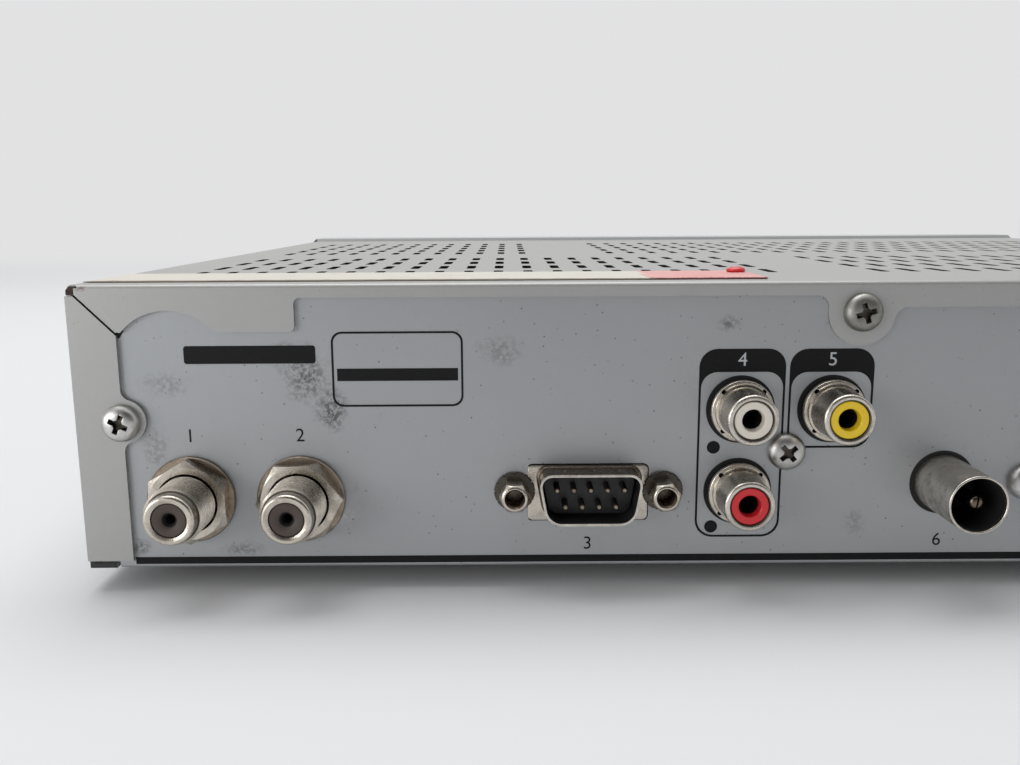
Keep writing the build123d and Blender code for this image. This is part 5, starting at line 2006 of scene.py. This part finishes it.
# ---------------------------------------------------------------- Front
@dataclass
class Front:
    """Moulded front with its window, buttons and generic marks."""

    case: Case
    controls: float = 26.0
    standby: float = -94.0
    channel_down: float = 70.0
    channel_up: float = 90.0
    proud: float = 0.8
    mark_height: float = 0.06
    trim: float = 1.5

    def moulding(self) -> None:
        """The moulding: dark in front, silver round its sides."""
        front = Piece.from_node("front_bezel", "front_moulding").bevel(0.25, 2).coat(Coat.FRONT)
        case = self.case
        side, low = case.width / 2 - self.trim, case.base + self.trim
        high = case.base + case.height - self.trim

        def on_side(at: Vector, facing: Vector) -> bool:
            """Whether a face is on the moulding's sides, behind its front."""
            outside = abs(at.x) > side or at.z > high or at.z < low
            return facing.y > -0.9 and outside and at.y > case.front + 0.3

        front.coat_where(Coat.TRIM, on_side).fix("front_plastic", replaces=["front_bezel"])

    def mark(self, piece: Piece, x: float, body: str) -> None:
        """Lays a mark on the button that is this body."""
        piece.seated(self.case.front_seat(x, self.controls, self.proud)).coat(Coat.LIGHT_INK)
        piece.fix("button_plastic", body)

    def marks(self) -> None:
        """A power mark, and an arrow down and one up."""
        half = self.mark_height / 2
        ring = Piece.ring("mark_ring", 1.9, 2.3, -half, half, 48)
        ring.combine(Piece.block("cutter", (1.5, 2.0, 1.0), (0, 2.1, 0)), Join.CUT)
        bar = Piece.block("mark_bar", (0.4, 2.2, 2 * half), (0, 1.6, 0))
        self.mark(joined("standby_mark", [ring, bar]), self.standby, "standby")
        arrows = (("channel_down", self.channel_down, 180.0), ("channel_up", self.channel_up, 0.0))
        for name, x, turn in arrows:
            self.mark(Piece.prism(f"{name}_mark", 3, 1.5, -half, half, turn), x, name)

    def build(self) -> None:
        """Builds the front."""
        self.moulding()
        self.marks()
        Carried("display_window", "window_pane", Coat.SMOKED, "smoked_plastic", 0.2).build()
        Carried("light_pipe", "light_guide", Coat.CLEAR, "clear_plastic", 0.15).build()
        for body in ("standby", "channel_down", "channel_up"):
            node = f"{body}_button"
            Carried(node, f"{node}_cap", Coat.BUTTON, "button_plastic", 0.3, body).build()


@dataclass
class Inside:
    """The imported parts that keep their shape: each gets its finish."""

    coats: dict[Coat, tuple[str, ...]] = field(
        default_factory=lambda: {
            Coat.BLACK: (
                "serial_housing",
                "jack_block",
                "button_switches",
                "decoder_chips",
                "infrared_receiver",
                "digit_display",
            ),
            Coat.TINPLATE: ("tuner_can", "modulator_can", "jack_contacts"),
            Coat.ALLOY: ("heat_sink", "chip_heat_sink"),
            Coat.BOARD: ("main_board", "power_board", "front_board"),
            Coat.BRASS: ("board_standoffs",),
            Coat.ZINC: ("board_screws",),
            Coat.FERRITE: ("power_transformer",),
            Coat.SLEEVE: ("capacitors",),
            Coat.GLASS: ("mains_fuse",),
            Coat.HEADER: ("board_headers",),
            Coat.CABLE: ("ribbon_cable", "power_harness", "switch_leads"),
            Coat.LAMP: ("standby_lamp",),
            Coat.PALE: ("rf_insulators",),
        }
    )

    def build(self) -> None:
        """Dresses the parts."""
        for coat, nodes in self.coats.items():
            for node in nodes:
                materials = bpy.data.objects[node].data.materials
                materials.clear()
                materials.append(coat.value.material())
                LOG.info("%s in %s", node, coat.value.name)


# ---------------------------------------------------------------- Studio
@dataclass
class Studio:
    """Pale paper, soft light and the camera, in metres. A lamp has name, place, direction, size, watts."""

    lamps: tuple[tuple[str, Rgb, Rgb, Point, float], ...] = (
        ("overhead_softbox", (0.15, -0.25, 1.3), (-0.1, 0.2, -1.3), (1.4, 0.9), 13.0),
        ("side_softbox", (0.6, 0.5, 0.12), (-0.55, -0.42, -0.1), (0.5, 0.2), 1.4),
    )
    fill: float = 0.51
    surround: Rgb = (0.99, 0.995, 1.0)
    paper_size: Point = (5.0, 3.6)
    paper_rise: float = 2.2
    card_size: Rgb = (1.7, 0.02, 0.9)
    card_place: Rgb = (-0.35, 0.8, 0.52)
    camera_place: Rgb = (0.0582, 0.2580, 0.06435)
    yaw: float = 0.12
    pitch: float = 10.44
    roll: float = -0.31
    lens: float = 33.38

    def paper(self) -> None:
        """Floor that curves up behind the object."""
        floor = Piece.start(
            "studio_floor",
            bpy.ops.mesh.primitive_plane_add,
            size=1.0,
            scale=(*self.paper_size, 1.0),
            location=(0, 0.2, 0),
        )
        with floor.selected(points=lambda at: at.y < -1.5):
            bpy.ops.mesh.extrude_region_move(TRANSFORM_OT_translate={"value": (0.0, 0.0, self.paper_rise)})
        floor.modify("BEVEL", width=0.6, segments=16, limit_method="ANGLE")
        floor.coat(Coat.FLOOR, 60)

    def lamp(self, name: str, place: Rgb, towards: Rgb, size: Point, power: float) -> None:
        """A soft rectangular lamp.

        Args:
            name: Its name.
            place: Its place.
            towards: The direction that it shines in.
            size: Its width and height.
            power: Its power in watts.
        """
        bpy.ops.object.light_add(type="AREA", location=place)
        lamp = bpy.context.object
        lamp.name = name
        lamp.data.shape, lamp.data.size, lamp.data.size_y = "RECTANGLE", *size
        lamp.data.energy = power
        lamp.rotation_euler = Vector(towards).to_track_quat("-Z", "Y").to_euler()

    def lights(self) -> None:
        """A large soft lamp overhead, a weak low one at the side, and an even surround."""
        for lamp in self.lamps:
            self.lamp(*lamp)
        world = bpy.data.worlds.new("surround")
        bpy.context.scene.world = world
        graph = Graph(world)
        kind = "ShaderNodeBackground"
        lit = graph.node(kind, {}, {"Color": self.surround, "Strength": self.fill})
        pale = graph.node(kind, {}, {"Color": Coat.FLOOR.value.far_color})
        mixed = graph.node("ShaderNodeMixShader", {}, {0: graph.seen(), 1: lit, 2: pale})
        graph.end_in(mixed, "ShaderNodeOutputWorld")

    def cards(self) -> None:
        """A grey card behind the camera, which only reflections show."""
        card = Piece.block("grey_card", self.card_size, self.card_place).coat(Coat.CARD)
        card.obj.visible_camera = card.obj.visible_diffuse = card.obj.visible_shadow = False
        card.obj.visible_transmission = False

    def camera(self) -> None:
        """The camera, at the height of the connectors."""
        yaw, pitch, roll = (math.radians(a) for a in (self.yaw, self.pitch, self.roll))
        level = math.cos(pitch)
        ahead = Vector((-math.sin(yaw) * level, -math.cos(yaw) * level, -math.sin(pitch)))
        right = Vector((-math.cos(yaw), math.sin(yaw), 0.0))
        up = right.cross(ahead)
        side = right * math.cos(roll) + up * math.sin(roll)
        top = up * math.cos(roll) - right * math.sin(roll)
        bpy.ops.object.camera_add()
        camera = bpy.context.object
        camera.name = "view"
        camera.data.lens = self.lens
        camera.data.sensor_width, camera.data.sensor_fit = 36.0, "HORIZONTAL"
        camera.data.clip_start, camera.data.clip_end = 0.01, 20.0
        facing = Matrix((side, top, -ahead)).transposed().to_4x4()
        camera.matrix_world = Matrix.Translation(self.camera_place) @ facing
        bpy.context.scene.camera = camera

    def build(self) -> None:
        """Builds the studio."""
        self.paper()
        self.lights()
        self.cards()
        self.camera()
        bpy.context.scene.view_settings.view_transform = "Standard"


def main() -> None:
    """Builds the receiver and its studio, and logs each piece as it is built."""
    logging.basicConfig(level=logging.INFO, format="%(message)s")
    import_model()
    case = Case()
    assemblies = (
        Cover(case),
        Tray(case),
        Feet(case),
        RearScrews(case),
        SatelliteSockets(case),
        SerialSocket(case),
        PinJacks(case),
        AerialSockets(case),
        MainsEntry(case),
        Front(case),
        Inside(),
        Studio(),
    )
    for assembly in assemblies:
        LOG.info("building %s", type(assembly).__name__)
        assembly.build()


if __name__ == "__main__":
    main()
